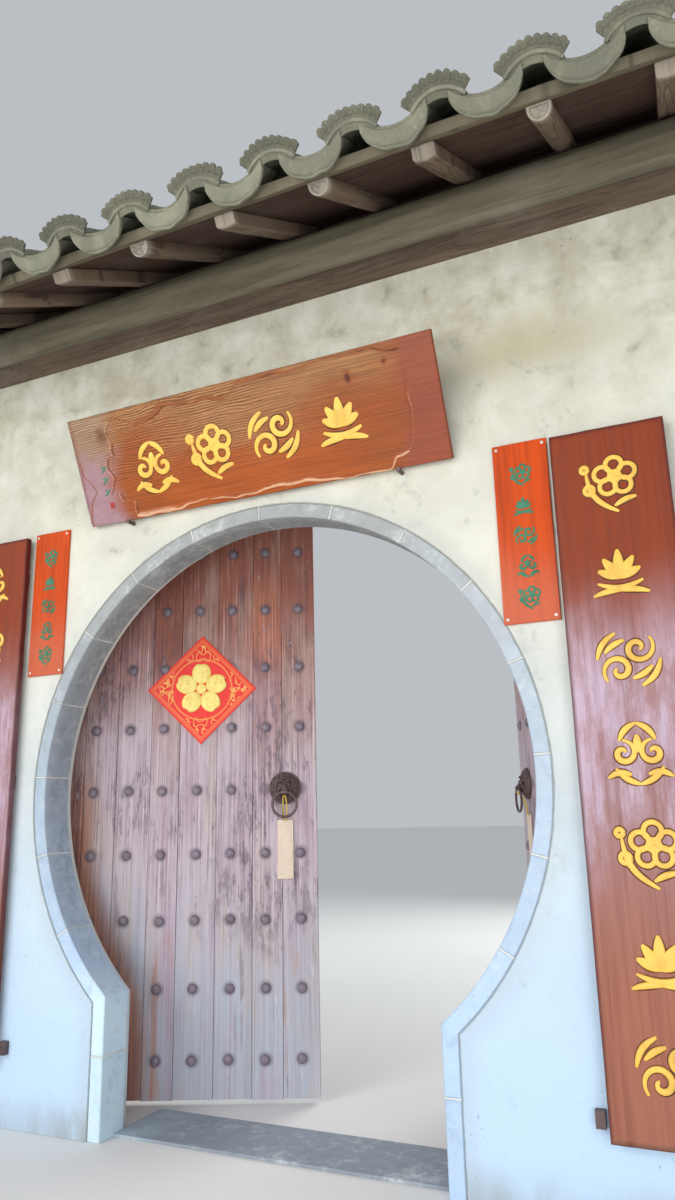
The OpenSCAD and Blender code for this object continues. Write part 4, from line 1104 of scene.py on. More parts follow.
def fan_ends(side, label, roof, f, dice):
    """Fans above the cover tiles: sectors with a scalloped rim and ruffles, by powers of sine waves."""
    count, half, lobe, rim_at, bevel = 2 * roof.rows + 2, 0.78, 0.1667, 0.1555, 0.0012
    face, foremost, behind = -0.0735, -0.0885, -0.0665
    turn = by_column(np.linspace(-half, half, 85))
    out = by_row((0, 0.25, 0.45, 0.52, 0.58, 0.64, 0.7, 0.76, 0.82, 0.88, 0.94, 1))
    x0 = by_copy((np.arange(count) - roof.rows - 0.5) * roof.pitch)
    own = dice.uniform(0, 1, (count, 1, 1))
    phase = turn * math.pi / lobe + 0.3 * waves(turn * 3 + x0 * 9, x0 * 7, 27)
    scallop, second = np.abs(np.cos(phase)) ** 0.6, np.abs(np.sin(phase)) ** 0.7
    taper = np.clip((half - np.abs(turn)) / 0.07, 0, 1) ** 0.5
    low = roof.cover - 0.026
    high = rim_at + (0.0095 + 0.003 * waves(turn * 9, x0 * 11, 28)) * scallop * taper
    radius = low + out * (high - low)
    ruffle = 0.0075 * scallop * bell(out - 0.92, 0.09) + 0.006 * second * bell(out - 0.74, 0.06)
    ruffle = ruffle + 0.0035 * bell(out - 0.58, 0.045)
    curl = 0.003 * out ** 2
    s = face - curl - ruffle + 0.001 * waves(turn * 8 + x0, out * 6, 29)
    s = np.maximum(s, foremost + np.clip(out - 0.6, 0, 1) * 0.008)
    turn = turn + dice.uniform(-0.035, 0.035, (count, 1, 1))
    x, n = x0 + radius * np.sin(turn), roof.bed - roof.sunk + radius * np.cos(turn)
    # Painted shade: the mark darkens the hollows between the ruffles.
    hollow = np.clip(1 - ruffle / 0.005, 0, 1) * (out > 0.6) * (out < 0.97) * 0.8
    shape = Shape()
    shape.slab(on_roof(roof, side, x, s, n), on_roof(roof, side, x, behind - curl, n), bevel,
               (turn, out, own), hollow)
    shape.build(f"fan_ends_{label}", f["fan"], "grey_tile")


def roof_boards(side, label, roof, f):
    """Boards along the roof with open joints, above the rafters."""
    count, gap, start, bevel, top = 7, 0.003, 0.022, 0.0008, 0.0676
    edge = np.linspace(start, tiles_end(roof) + 0.04, count + 1)
    s = by_copy(edge[:-1]) + by_copy(np.diff(edge) - gap) * by_row((0.0, 0.5, 1.0))
    s = np.minimum(s, slope_end(roof, roof.rafter) - 0.0004)
    x = by_column(np.linspace(-roof.half + 0.002, roof.half - 0.002, 41))
    under = roof.rafter + 0.0004 + 0.0004 * waves(x * 5, s * 30, 8)
    shape = Shape()
    own = by_copy(np.arange(count)) * 0.37
    shape.slab(on_roof(roof, side, x, s, under), on_roof(roof, side, x, s, top), bevel, (x, s, own))
    shape.build(f"boards_{label}", f["boarding"], "dark_wood", (f"boarding_{label}",))


def eave_edges(roof, f):
    """A worn board along each eave: lumpy below and thinned above by waves, with a ragged lower edge."""
    shape, top, bevel = Shape(), 0.0895, 0.003
    x, s = by_row(np.linspace(-roof.half, roof.half, 181)), by_column(np.linspace(-0.03, 0.02, 6))
    for side in (1, -1):
        lump = np.abs(waves(x * 14, s * 60, 19 + side)) * 0.0035 * (s < 0)
        thin = np.abs(waves(x * 9, s * 8, 22 + side)) * 0.0028
        ragged = s + (s < -0.02) * np.abs(waves(x * 11, 0 * s, 25 + side)) * 0.005
        low, high = (on_roof(roof, side, x, ragged, n) for n in (roof.rafter + 0.0005 + lump, top - thin))
        shape.slab(low, high, bevel, (x, s, 0.3 * side))
    shape.build("eave_edges", f["eave"], "weathered_wood", ("eave_boards",), sharp=50)


def square_rafters(shape, side, roof, dice):
    """Square rafters: an underside worn by waves, and by a sharp fall towards each lower end."""
    half, gap, bevel, t = 0.0375, 0.0004, 0.004, by_row(np.linspace(0, 1, 25))
    x0 = by_copy(roof.rafter_pitch * (np.arange(-6, 6, 2) + 0.5))
    own = dice.uniform(0, 1, (6, 1, 1))
    across = by_column(np.linspace(-half, half, 5))
    x = x0 + across
    wear = 0.0022 * np.abs(waves(t * 20 + x0 * 5, across * 60, 61))
    wear = wear + 0.006 * np.exp(-t / 0.012) * np.abs(across) / half
    low = on_roof(roof, side, x, t * (slope_end(roof, wear) - gap), wear)
    high = on_roof(roof, side, x, t * (slope_end(roof, roof.rafter) - gap), roof.rafter - 0.0001)
    shape.slab(low, high, bevel, (t * 0.9, x, own), np.exp(-t / 0.02) * 0.7)


def half_rafters(shape, side, roof, dice):
    """Half-round rafters: an arc below and a flat top, knotted by waves, with the end grain hollowed out."""
    size, flat_half, flat_angle, middle, gap = 0.04, 0.0387, 1.25, 0.0285, 0.0004
    x0 = by_copy(roof.rafter_pitch * (np.arange(-5, 6, 2) + 0.5))
    own = dice.uniform(0, 1, (6, 1, 1))
    turn = by_column(np.concatenate([np.linspace(-1.82, 1.82, 21), np.linspace(flat_angle, -flat_angle, 7)]))
    flat = by_column(np.arange(28)) > 20
    x = np.where(flat, flat_half * np.sin(turn) / math.sin(flat_angle), size * np.sin(turn))
    rise = np.where(flat, roof.rafter - 0.0001, size - size * np.cos(turn))
    along = by_row(np.concatenate([[0.011, 0.010, 0.0, 0.0], np.linspace(0.004, 1, 22)]))
    share = by_row(np.concatenate([[0.2, 0.6, 0.72, 0.97], np.ones(22)]))
    knobs = 1 - 0.05 * np.abs(waves(along * 9 + x0 * 4, np.cos(turn) * 3 + own * 9, 63)) * (share > 0.9)
    n = middle + (rise - middle) * share * np.where(flat, 1, knobs)
    rings = on_roof(roof, side, x0 + x * share * knobs, along * (slope_end(roof, n) - gap), n)
    mark = np.where(along < 0.012, 1.0, np.exp(-along / 0.03) * 0.6)
    shape.round(rings, (along * 0.9, x0 + x, own), mark)


def bed_height(roof, y):
    """Height of the bedding's upper face at a distance y from the wall's middle."""
    return roof.eave_high + (roof.eave - np.abs(y)) * math.tan(roof.slope) + roof.bed / math.cos(roof.slope)


def layer_tiles(shape, roof, low, high, dice):
    """Layers of tiles in bond along the ridge. The lowest ones are cut to the slope."""
    layers, per, gap, cap, half, bevel = 8, 18, 0.004, 0.052, 0.0585, 0.002
    tall, wide = (high.z - low.z - cap) / layers, (high.x - low.x) / per - gap
    z = by_copy(np.repeat(low.z + gap + np.arange(layers) * tall, per))
    x0 = np.tile(np.linspace(low.x, high.x, per + 1)[:-1] + gap / 2, layers)
    x0 = by_copy(x0 + np.repeat(np.arange(layers), per) % 2 * wide / 2)
    y = by_column(np.linspace(-half, half, 4))
    jut = 1 - dice.uniform(0, 0.04, (layers * per, 1, 1))
    own = dice.uniform(0, 1, (layers * per, 1, 1))
    x = x0 + by_row((0, 0.5, 1)) * (np.minimum(x0 + wide, high.x) - x0)
    top, floor = z + tall - 0.0035, np.maximum(z, np.minimum(bed_height(roof, y * jut), z + tall - 0.0055))
    shape.slab(mesh_of(x, y * jut, top), mesh_of(x, y * jut, floor), bevel, (x0, y, own))


def ridge_block(shape, roof, low, high):
    """A dark block inside the layers, so that no light shows through their joints. Its mark darkens it as
    painted shade.
    """
    half, inset, bevel = 0.05, 0.01, 0.001
    x, y = np.array([low.x + inset, high.x - inset])[:, None], np.array([-half, half])[None]
    floor = bed_height(roof, half) + 0.002
    shape.slab(mesh_of(x, y, high.z - 0.03), mesh_of(x, y, floor), bevel, (x, y, 0.1), 0.9)


def cap_tiles(shape, roof, low, high, dice):
    """Curved tiles along the top of the ridge: arcs of a circle that taper, each into the next."""
    count, size, taper, overlap, bevel = 17, 0.076, 0.003, 0.012, 0.002
    step = (high.x - low.x) / count
    turn, t = by_column(np.linspace(-0.95, 0.95, 11)), by_row((0.0, 0.3, 1.0))
    x = np.minimum(by_copy(np.linspace(low.x, high.x, count + 1)[:-1]) + t * (step + overlap), high.x)
    own, centre = dice.uniform(0, 1, (count, 1, 1)), high.z - size - 0.0005
    outer, inner = (mesh_of(x, r * np.sin(turn), centre + r * np.cos(turn))
                    for r in (size - taper * t, size - taper * t - roof.tile))
    shape.slab(outer, inner, bevel, (x, turn, own))


def purlin_logs(roof, f):
    """Two logs: circles along a line whose radius wanders by waves, with slightly narrower ends."""
    shape, (low, high) = Shape(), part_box("purlins")
    turn = circle(40)[None]
    x = np.concatenate([[low.x], np.linspace(low.x + 0.001, high.x - 0.001, 141), [high.x]])[:, None]
    end = np.where((x <= low.x) | (x >= high.x), 0.97, 1)
    for side in (-1, 1):
        broad = np.abs(waves(x * 3, np.cos(turn) * 3 + 2 * np.sin(turn), 40 + side))
        fluted = np.abs(waves(x * 2, np.sin(3 * turn) * 9, 44))
        r = (roof.log - 0.0035 * broad - 0.0012 * fluted) * end
        z = np.maximum(high.z - roof.log + r * np.sin(turn), low.z + 0.0002)
        shape.round(mesh_of(x, side * (high.y - roof.log) + r * np.cos(turn), z))
    shape.build("purlin_logs", f["log"], "weathered_wood", ("purlins",), sharp=30)


# Ornaments


def spiral(cx, cy, r0, r1, start, turns, count=40):
    """A spiral from radius r0 to r1 about a centre, from the start angle through a number of turns."""
    a = np.linspace(start, start + 2 * math.pi * turns, count)
    r = np.linspace(r0, r1, count)
    return np.stack([cx + r * np.cos(a), cy + r * np.sin(a)], -1)


def bow(p, q, bulge, count=24):
    """An arc between two points: a straight line plus a sine-shaped bulge square to it."""
    p, q, t = np.array(p, float), np.array(q, float), np.linspace(0, 1, count)[:, None]
    side = np.array([-(q - p)[1], (q - p)[0]])
    return p + (q - p) * t + side * bulge * np.sin(math.pi * t)


def petal(x, y, heading, size, wide):
    """A leaf shape: two arcs that leave a point in one direction and meet again at its tip."""
    tip = (x + size * math.sin(heading), y + size * math.cos(heading))
    return [bow((x, y), tip, wide, 16), bow((x, y), tip, -wide, 16)]


def cloud_head():
    """A cloud with two curls, the left half mirrored, over a bud."""
    left = [spiral(-0.21, 0.02, 0.025, 0.19, 0.3, 1.2), bow((-0.26, 0.2), (0, 0.46), 0.12),
            bow((-0.34, -0.2), (0, -0.44), -0.1), bow((-0.46, -0.34), (-0.12, -0.3), 0.16, 14)]
    return left + [path * [-1, 1] for path in left] + petal(0, 0.02, 0, 0.26, 0.06)


def plum_branch():
    """A five-petalled blossom, two buds and the twigs that carry them."""
    turns = np.arange(5) * 2 * math.pi / 5
    petals = [spiral(0.08 + 0.2 * math.sin(a), 0.12 + 0.2 * math.cos(a), 0.125, 0.125, 0, 1, 28)
              for a in turns]
    buds = [spiral(-0.33, -0.06, 0.07, 0.07, 0, 1, 18), spiral(-0.38, 0.3, 0.05, 0.05, 0, 1, 16)]
    twigs = [bow((-0.36, 0.24), (0.1, -0.48), -0.16), bow((-0.22, -0.2), (-0.32, -0.12), 0, 8),
             bow((0.04, -0.38), (0.38, -0.26), 0.07, 14)]
    return petals + buds + [spiral(0.08, 0.12, 0.03, 0.04, 0, 1, 16)] + twigs


def lotus():
    """A fan of five petals over water lines."""
    petals = [arc for a in (-1.15, -0.6, 0, 0.6, 1.15)
              for arc in petal(0, -0.14, a, 0.46 - 0.1 * abs(a), 0.075)]
    return petals + [bow((-0.34, -0.2), (0.34, -0.2), -0.14), bow((-0.42, -0.4), (0, -0.34), 0.06, 14),
                     bow((0.42, -0.4), (0, -0.34), -0.06, 14)]


def double_scroll():
    """A curl with two strokes over it, and the same turned half round."""
    one = [spiral(-0.15, -0.16, 0.03, 0.24, 2.3, 1.25), bow((-0.46, 0.02), (-0.16, 0.42), 0.13),
           bow((-0.34, 0.12), (-0.04, 0.3), 0.08, 14)]
    return one + [-path for path in one]


ORNAMENTS = (cloud_head, plum_branch, lotus, double_scroll)


def strokes(shape, ornament, cx, cy, size, width, rise, place):
    """Raised brush strokes: paths swept by a flattened tube that swells midway and thins at its ends."""
    for path in ornament():
        t = np.linspace(0, 1, len(path))
        closed = np.allclose(path[0], path[-1], atol=1e-6)
        swell = np.full(len(t), 0.9) if closed else 0.12 + 0.95 * np.sin(math.pi * (0.04 + 0.9 * t)) ** 0.6
        flat = mesh_of(cx + size * path[:, 0], cy + size * path[:, 1], 0)
        across, up, out = parts(tube(flat, width * swell, (0, 0, 1), 8, rise / width))
        shape.round(place(across, up, np.maximum(out, -0.0005)))


# Signboard. The outlines of its carved edge, measured on the board in metres along and up
LOW_EDGE = ((-0.8, 0.035), (-0.4, 0.02), (-0.25, 0.03), (-0.08, 0.018), (0.13, 0.036), (0.27, 0.018),
            (0.45, 0.01), (0.57, 0.012), (0.6, 0.045), (0.65, 0.055), (0.675, 0.11))
HIGH_EDGE = ((-0.64, 0.4), (-0.57, 0.422), (-0.504, 0.402), (-0.475, 0.374), (-0.383, 0.376), (-0.336, 0.402),
             (-0.139, 0.4), (-0.048, 0.388), (0.024, 0.428), (0.181, 0.424), (0.4, 0.43), (0.686, 0.405))
LEFT_EDGE = ((0.03, -0.546), (0.073, -0.54), (0.082, -0.591), (0.115, -0.6), (0.12, -0.645), (0.178, -0.613),
             (0.219, -0.64), (0.26, -0.633), (0.27, -0.598), (0.359, -0.626), (0.402, -0.6))
OUTER_LINE = ((0.026, -0.791), (0.098, -0.772), (0.141, -0.738), (0.179, -0.746), (0.21, -0.773),
              (0.247, -0.776), (0.299, -0.79))
# How deep the trough along the top is cut, by the place along the board
TROUGH = ((-0.5, 0), (-0.44, 1), (-0.22, 1), (-0.19, 0.1), (-0.16, 1), (-0.06, 1), (-0.03, 0.1), (0.02, 0.8),
          (0.2, 0.7), (0.24, 0.1), (0.47, 0.1), (0.52, 1), (0.67, 1), (0.7, 0))


def line(points, at):
    """Height of the broken line through the points, at a place."""
    return np.interp(at, *np.transpose(points))


def carving(x, h, boards):
    """The board's relief and its mark: a sunk field, with ridges and gouges as humps along its edge. The mark
    places the painted highlight on the ridges and the painted shade in the gouges, hollows and trough.
    """
    ragged = 0.008 * waves(x * 16, h * 16, 2) + 0.005 * waves(x * 48, h * 48, 6)
    ragged = ragged + 0.003 * waves(x * 120, h * 120, 8)
    low, high = h - line(LOW_EDGE, x) - 0.8 * ragged, line(HIGH_EDGE, x) - h - ragged
    left, right = x - line(LEFT_EDGE, h) - 1.2 * ragged, 0.672 - x - 0.6 * ragged
    inside = np.minimum(np.minimum(low, left), np.minimum(high, right))
    bottom, ends, top, far = (edge <= inside + 1e-9 for edge in (low, left, high, right))
    field = 1 / (1 + np.exp(-inside / 0.0025))
    patchy = np.clip(0.75 + 0.5 * waves(x * 10, h * 10, 4), 0.3, 1.1) + 0.5 * bell(x - 0.54, 0.1)
    climb = bottom + 0.5 * far * np.clip((0.36 - h) / 0.12, 0, 1)
    ridge = bell(inside + 0.007, 0.0028 + 0.008 * patchy ** 2) * np.clip(0.5 + patchy, 0, 1) * climb
    ridge = ridge + 0.6 * bell(inside + 0.012, 0.004) * ends
    outer, fading = x - line(OUTER_LINE, h) - 0.8 * ragged, np.clip((0.3 - h) / 0.05, 0, 1)
    ridge = np.clip(ridge + 0.4 * bell(outer + 0.007, 0.003) * fading, 0, 1)
    cut = ends * (0.4 + 0.8 * (waves(x * 22, h * 22, 11) > -0.4)) + 0.5 * climb + 0.6 * top
    gouge = bell(inside + 0.003, 0.003) * cut + 0.8 * bell(outer, 0.003) * fading
    broad = 0.011 + 0.008 * (x > 0.45) + 0.003 * waves(x * 60, h * 60, 12)
    trough = bell(inside + 0.012, broad, 4) * top * line(TROUGH, x)
    pit = bell(x - 0.47, 0.018) * bell(h - 0.365 - 0.04 * waves(x * 40, h * 5, 14), 0.03)
    hollow = pit * (0.7 + 0.6 * waves(x * 60, h * 60, 18)) + bell(x - 0.613, 0.012) * bell(h - 0.383, 0.013)
    dark = np.clip(gouge + hollow, 0, 1.2)
    relief = 0.003 * (ridge - field) - 0.0035 * dark - 0.0025 * trough - 0.0036
    relief = relief + 0.0008 * waves(x * 30, h * 14, 17)
    border = np.minimum(np.minimum(h, boards.high - h), boards.half - np.abs(x)) < 0.012
    relief = np.minimum(relief - 0.002 * np.abs(waves(x * 25, h * 25, 21)) * border, 0)
    # Mark: painted highlight on the ridges, painted shade in the gouges, hollows and trough.
    return relief, ridge - np.clip(dark + 0.5 * trough, 0, 1)


def carved_board(place, boards, f):
    """The signboard: a flat slab whose front sinks and rises by the carving."""
    x, h = np.linspace(-boards.half, boards.half, 361)[:, None], np.linspace(0, boards.high, 101)[None]
    relief, mark = carving(x, h, boards)
    shape, bevel = Shape(), 0.0025
    shape.slab(place(x, h, relief), place(x, h, -boards.thick), bevel, (x, h, 0.2), mark)
    shape.build("carved_signboard", f["sign"], "varnished_wood", ("signboard",), sharp=50)


def sign_ornaments(place, f):
    """Gilded ornaments along the board, each with a wider dark outline below it, partly painted shadow."""
    size = 0.225
    spots = ((cloud_head, -0.43, 0.19), (plum_branch, -0.15, 0.2),
             (double_scroll, 0.13, 0.215), (lotus, 0.41, 0.225))
    for name, finish, width, rise, base in (("sign_ornaments", "gold", 0.0125, 0.0075, -0.008),
                                            ("sign_outline_shadows", "shadow", 0.018125, 0.0035, -0.0085)):
        shape = Shape()
        for ornament, cx, cy in spots:
            strokes(shape, ornament, cx, cy, size, width, rise, lambda x, h, out: place(x, h, out + base))
        shape.build(name, f[finish], "varnished_wood")


def sprig(place, f):
    """Rows of small green leaves at the board's left end, as tubes that taper along slanting lines."""
    shape, t = Shape(), np.linspace(0, 1, 9)
    for row in range(3):
        for mirror, lean in ((-1, 0.7), (1, 0.8), (-1, 1.9)):
            x = -0.676 + 0.004 * row + mirror * 0.020 * t * math.sin(lean)
            h = 0.125 + 0.048 * row + 0.026 * t * math.cos(lean) + 0.003 * np.sin(3 * t)
            size = 0.0044 * np.sin(0.25 + 2.6 * t)
            across, up, out = parts(tube(mesh_of(x, h, 0), size, (0, 0, 1), 8, 0.4))
            shape.round(place(across, up, out - 0.0036))
    shape.build("sign_sprig", f["green"], "varnished_wood")


def bare_seal(place, f):
    """A small blank raised block below the sprig, its face waved a little."""
    seal, front, back, bevel = Shape(), -0.0015, -0.0065, 0.0004
    x, h = np.linspace(-0.679, -0.659, 5)[:, None], np.linspace(0.062, 0.086, 5)[None]
    seal.slab(place(x, h, front + 0.0003 * waves(x * 300, h * 300, 4)), place(x, h, back), bevel)
    seal.build("bare_seal", f["seal"], "varnished_wood")


# Side boards


def on_face(face, x, h, out):
    """Places on an upright board: x along it, h up and out from its face."""
    return mesh_of(x, face - out, h)


def long_board(side, label, wall, b, f):
    """A long board: a wavy face, chipped along its edges by waves that die away inwards."""
    face, high, thick, bevel = -wall.face - b.long_out, b.long_low + b.long_high, 0.028, 0.002
    x = b.long_in + np.linspace(0, b.long_wide, 30)[None]
    z = np.linspace(b.long_low, high, 120)[:, None]
    across = np.minimum(x - b.long_in, b.long_in + b.long_wide - x)
    edge = np.minimum(across, np.minimum(z - b.long_low, high - z))
    wave = 0.0006 + 0.0009 * np.abs(waves(x * 20, z * 4, 50 + side))
    out = wave + 0.0025 * np.exp(-edge / 0.004) * np.abs(waves(x * 40, z * 30, 52 + side))
    shape = Shape()
    shape.slab(mesh_of(side * x, face + out, z), mesh_of(side * x, face + thick, z), bevel,
               (z, x, 0.5 + 0.3 * side), np.exp(-edge / 0.0025) * 0.8)
    shape.build(f"long_board_{label}", f["couplet"], "varnished_wood", (f"couplet_{label}",))


def long_ornaments(gold, dark, side, wall, b):
    """Gilded ornaments down a long board, each with a wider dark outline below it, partly painted shadow."""
    face, middle = -wall.face - b.long_out, side * (b.long_in + b.long_wide / 2)
    first, step, size = b.long_low + b.long_high - 0.2, 0.285, 0.2
    for number in range(7):
        ornament, z = ORNAMENTS[(number + (side > 0)) % 4], first - number * step
        for shape, width, rise, sunk in ((gold, 0.0095, 0.0075, 0.0008), (dark, 0.013, 0.003, 0.0015)):
            strokes(shape, ornament, middle, z, size, width, rise, partial(on_face, face + sunk))


def small_board(shape, side, wall, b):
    """A small board: a slab whose face is wavy."""
    face, bevel = -wall.face - b.small_thick, 0.0018
    x = b.small_in + np.linspace(0, b.small_wide, 16)[None]
    z = np.linspace(b.small_low, b.small_low + b.small_high, 48)[:, None]
    out = 0.0004 + 0.0008 * np.abs(waves(x * 25, z * 6, 60 + side))
    shape.slab(mesh_of(side * x, face + out, z), mesh_of(side * x, -wall.face, z), bevel, (z, x, 0.4 * side))


def small_ornaments(shape, side, wall, b):
    """Green ornaments down a small board, in turn from the four kinds."""
    place, width, rise = partial(on_face, -wall.face - b.small_thick + 0.0002), 0.0045, 0.0022
    middle = side * (b.small_in + b.small_wide / 2)
    first, step, size = b.small_low + b.small_high - 0.12, 0.108, 0.082
    for number in range(5):
        strokes(shape, ORNAMENTS[(number + 1) % 4], middle, first - number * step, size, width, rise, place)


def board_screws(shape, side, wall, b):
    """A domed screw in each corner of a small board, as a turned profile."""
    face, in_x, in_z = -wall.face - b.small_thick, 0.014, 0.016
    corners = [(side * (b.small_in + dx), -(b.small_low + dz))
               for dx in (in_x, b.small_wide - in_x) for dz in (in_z, b.small_high - in_z)]
    head = ((0.0055, -0.001), (0.0055, 0.0008), (0.004, 0.0022), (0.0014, 0.0026))
    across, down, out = parts(turned(head, corners, 12))
    shape.round(mesh_of(across, face + 0.0005 - out, -down))


# Stage


def stage_floor(scene):
    """A plain pale floor, large enough to fill the view."""
    p = Paint("studio floor")
    p.base = p.mix(p.noise(p.place(), 0.8, 3.0), rgb(232, 232, 230), rgb(238, 238, 236))
    half, low = 60.0, -0.001
    mesh = bpy.data.meshes.new("floor")
    corners = [(-half, -half, low), (half, -half, low), (half, half, low), (-half, half, low)]
    mesh.from_pydata(corners, [], [(0, 1, 2, 3)])
    mesh.materials.append(p.done(0.85))
    floor = bpy.data.objects.new("floor", mesh)
    scene.collection.objects.link(floor)


def stand(scene, name, data, axes, place):
    """Adds a light or camera with the given axes at a place."""
    thing = bpy.data.objects.new(name, data)
    matrix = np.eye(4)
    matrix[:3, :3], matrix[:3, 3] = np.transpose(axes), place
    thing.matrix_world = Matrix(matrix.tolist())
    scene.collection.objects.link(thing)
    return thing


# Name, place, aim, size in metres and power in watts of each soft light
LIGHTS = (
    ("key", (-2.6, -6.0, 3.4), (0, 0, 1.5), 3.5, 190),
    ("fill", (4.2, -5.0, 1.6), (0, 0, 1.6), 3.0, 100),
    ("eave", (0.4, -4.6, 0.3), (0, -0.4, 3.3), 2.6, 95),
    ("rear", (1.5, 6.5, 4.5), (0, 0, 1.8), 4.0, 260),
)
# The photo's angle, as fitted to the ring and the wall's edges
CAMERA_AXES = ((0.91016, 0.41373, -0.02107), (0.11935, -0.21318, 0.96969), (0.39670, -0.88509, -0.24341))
CAMERA_PLACE = (1.56327, -2.93549, 1.12676)


def stage_lights(scene):
    """A pale surrounding and the soft lights, each turned towards its aim."""
    world = bpy.data.worlds.new("studio")
    world.use_nodes = True
    sky = world.node_tree.nodes["Background"].inputs
    sky["Color"].default_value, sky["Strength"].default_value = (0.80, 0.84, 0.88, 1), 0.62
    scene.world = world
    for name, place, aim, size, power in LIGHTS:
        light = bpy.data.lights.new(name, "AREA")
        light.size, light.energy = size, power
        back = unit(np.subtract(place, aim))
        side = unit(np.cross((0, 0, 1), back))
        stand(scene, name, light, (side, np.cross(back, side), back), place)


# Operators


class GATE_OT_plaster(bpy.types.Operator):
    """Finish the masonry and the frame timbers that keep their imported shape"""
    bl_idname = "gate.plaster"
    bl_label = "Plaster and frame"

    def execute(self, context):
        f = finishes(context.scene)
        dress(f["plaster"], "pier_left", "pier_right", "wall_over", "screen_upper_left", "screen_upper_right",
              "screen_lower_left", "screen_lower_right", "ridge_core")
        dress(f["paving"], "threshold_stone", "pivot_stones")
        dress(f["beam"], "head_beam")
        dress(f["plate"], "wall_plates")
        dress(f["log"], "ridge_log")
        dress(f["bed"], "bedding")
        dress(f["post"], "pivot_post_left", "pivot_post_right")
        dress(f["iron"], "knocker_left", "knocker_right", "sign_irons")
        dress(f["iron"], "knocker_ring_left", "knocker_ring_right")
        dress(f["strip"], "couplet_battens")
        return {"FINISHED"}


class GATE_OT_ring(bpy.types.Operator):
    """Cut the stones of the ring and jambs and fill their joints"""
    bl_idname = "gate.ring"
    bl_label = "Stone ring"

    def execute(self, context):
        wall, f = context.scene.gate_wall, finishes(context.scene)
        ring_stones(wall, f)
        ring_joints(wall, f)
        return {"FINISHED"}


class GATE_OT_leaves(bpy.types.Operator):
    """Lay the planks, battens and studs of both leaves"""
    bl_idname = "gate.leaves"
    bl_label = "Leaves"

    def execute(self, context):
        leaf, f = context.scene.gate_leaves, finishes(context.scene)
        for hand, side in enumerate(("left", "right")):
            dice = np.random.default_rng(21 + hand)
            planks(side, leaf, f, dice, 7 + hand)
            studs(side, leaf, f, dice)
            back_battens(side, leaf, f)
        return {"FINISHED"}


class GATE_OT_knockers(bpy.types.Operator):
    """Carve the mane round each knocker, hang its slip and stick the paper on"""
    bl_idname = "gate.knockers"
    bl_label = "Knockers"

    def execute(self, context):
        leaf, f = context.scene.gate_leaves, finishes(context.scene)
        for side in ("left", "right"):
            mane(side, leaf, f)
            slip(side, leaf, f)
            slip_tie(side, leaf, f)
        red_paper(leaf, f)
        rosette(leaf, f)
        return {"FINISHED"}


class GATE_OT_rafters(bpy.types.Operator):
    """Shape the square and half-round rafters, whose lower ends are hollowed by weather"""
    bl_idname = "gate.rafters"
    bl_label = "Rafters"

    def execute(self, context):
        roof, f = context.scene.gate_roof, finishes(context.scene)
        dice = np.random.default_rng(55)
        for side, label in ((1, "front"), (-1, "back")):
            shape = Shape()
            square_rafters(shape, side, roof, dice)
            half_rafters(shape, side, roof, dice)
            shape.build(f"worn_rafters_{label}", f["rafter"], "weathered_wood", (f"rafters_{label}",))
        return {"FINISHED"}


class GATE_OT_tiles(bpy.types.Operator):
    """Lay the pan and cover tiles in courses, with drip lips and fan ends at both eaves"""
    bl_idname = "gate.tiles"
    bl_label = "Tiles"

    def execute(self, context):
        roof, f = context.scene.gate_roof, finishes(context.scene)
        for side, label in ((1, "front"), (-1, "back")):
            dice = np.random.default_rng(31 + side)
            tile_courses("pan", side, label, roof, f, dice)
            tile_courses("cover", side, label, roof, f, dice)
            drip_lips(side, label, roof, f, dice)
            fan_ends(side, label, roof, f, dice)
            roof_boards(side, label, roof, f)
        eave_edges(roof, f)
        return {"FINISHED"}


class GATE_OT_ridge(bpy.types.Operator):
    """Stack the thin tiles of the ridge and cap them, and round the purlin logs"""
    bl_idname = "gate.ridge"
    bl_label = "Ridge and logs"

    def execute(self, context):
        roof, f = context.scene.gate_roof, finishes(context.scene)
        ridge, dice, (low, high) = Shape(), np.random.default_rng(77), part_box("roof_ridge")
        layer_tiles(ridge, roof, low, high, dice)
        ridge_block(ridge, roof, low, high)
        cap_tiles(ridge, roof, low, high, dice)
        ridge.build("ridge_tiles", f["tile"], "grey_tile", ("roof_ridge",))
        purlin_logs(roof, f)
        return {"FINISHED"}


class GATE_OT_signboard(bpy.types.Operator):
    """Carve the signboard and raise its ornaments"""
    bl_idname = "gate.signboard"
    bl_label = "Signboard"

    def execute(self, context):
        boards, f = context.scene.gate_boards, finishes(context.scene)
        place = partial(on_sign, context.scene.gate_wall, boards)
        carved_board(place, boards, f)
        sign_ornaments(place, f)
        sprig(place, f)
        bare_seal(place, f)
        return {"FINISHED"}


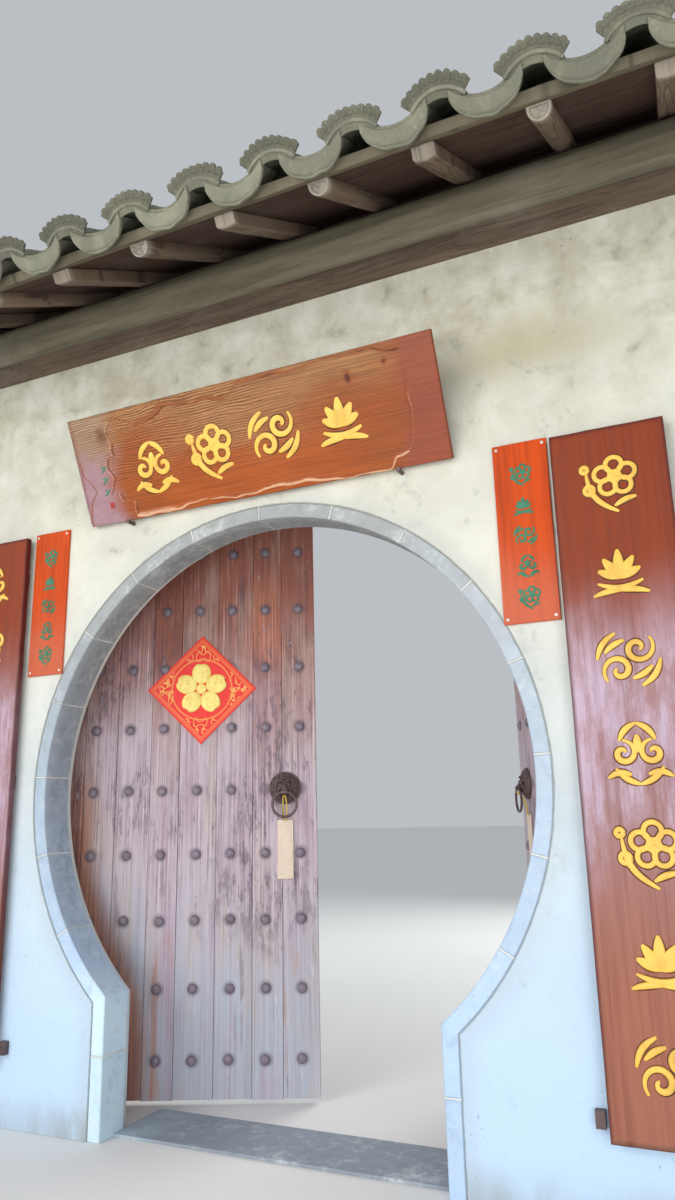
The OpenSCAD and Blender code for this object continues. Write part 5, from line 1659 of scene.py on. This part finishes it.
class GATE_OT_boards(bpy.types.Operator):
    """Make the long boards and the small orange boards beside the ring"""
    bl_idname = "gate.boards"
    bl_label = "Side boards"

    def execute(self, context):
        wall, b, f = context.scene.gate_wall, context.scene.gate_boards, finishes(context.scene)
        small, gold, dark, green, screws = (Shape() for _ in range(5))
        for side, label in ((-1, "left"), (1, "right")):
            long_board(side, label, wall, b, f)
            long_ornaments(gold, dark, side, wall, b)
            small_board(small, side, wall, b)
            small_ornaments(green, side, wall, b)
            board_screws(screws, side, wall, b)
        small.build("orange_boards", f["orange"], "orange_board", ("small_boards",))
        gold.build("board_ornaments", f["gold"], "varnished_wood")
        dark.build("board_outline_shadows", f["shadow"], "varnished_wood")
        green.build("small_ornaments", f["green"], "orange_board")
        screws.build("board_screws", f["screw"], "orange_board")
        return {"FINISHED"}


class GATE_OT_stage(bpy.types.Operator):
    """Set the floor, the lights and the camera"""
    bl_idname = "gate.stage"
    bl_label = "Stage"

    def execute(self, context):
        scene = context.scene
        stage_floor(scene)
        stage_lights(scene)
        camera = bpy.data.cameras.new("camera")
        camera.lens, camera.sensor_width, camera.clip_start = 25.53, 36.0, 0.05
        scene.camera = stand(scene, "camera", camera, CAMERA_AXES, CAMERA_PLACE)
        scene.view_settings.view_transform = "Standard"
        return {"FINISHED"}


class GATE_PT_panel(bpy.types.Panel):
    """Lists the steps that build the gate"""
    bl_idname = "GATE_PT_panel"
    bl_label = "Round garden gate"
    bl_space_type = "VIEW_3D"
    bl_region_type = "UI"
    bl_category = "Gate"

    def draw(self, context):
        for step in OPERATORS:
            self.layout.operator(step.bl_idname)
        for group in GROUPS:
            box, values = self.layout.box(), getattr(context.scene, group)
            for key in values.__annotations__:
                box.prop(values, key)


GROUPS = {"gate_wall": GateWallSizes, "gate_leaves": GateLeafSizes, "gate_roof": GateRoofSizes,
          "gate_boards": GateBoardSizes, "gate_colours": GateColours}
OPERATORS = (GATE_OT_plaster, GATE_OT_ring, GATE_OT_leaves, GATE_OT_knockers, GATE_OT_rafters, GATE_OT_tiles,
             GATE_OT_ridge, GATE_OT_signboard, GATE_OT_boards, GATE_OT_stage)


def register():
    """Adds the sizes, colours, operators and the panel to Blender."""
    for name, group in GROUPS.items():
        bpy.utils.register_class(group)
        setattr(bpy.types.Scene, name, PointerProperty(type=group))
    for cls in (*OPERATORS, GATE_PT_panel):
        bpy.utils.register_class(cls)


def unregister():
    """Takes them all out again."""
    for cls in (GATE_PT_panel, *reversed(OPERATORS)):
        bpy.utils.unregister_class(cls)
    for name, group in GROUPS.items():
        delattr(bpy.types.Scene, name)
        bpy.utils.unregister_class(group)


def main():
    register()
    for step in OPERATORS:
        family, name = step.bl_idname.split(".")
        getattr(getattr(bpy.ops, family), name)()


if __name__ == "__main__":
    main()
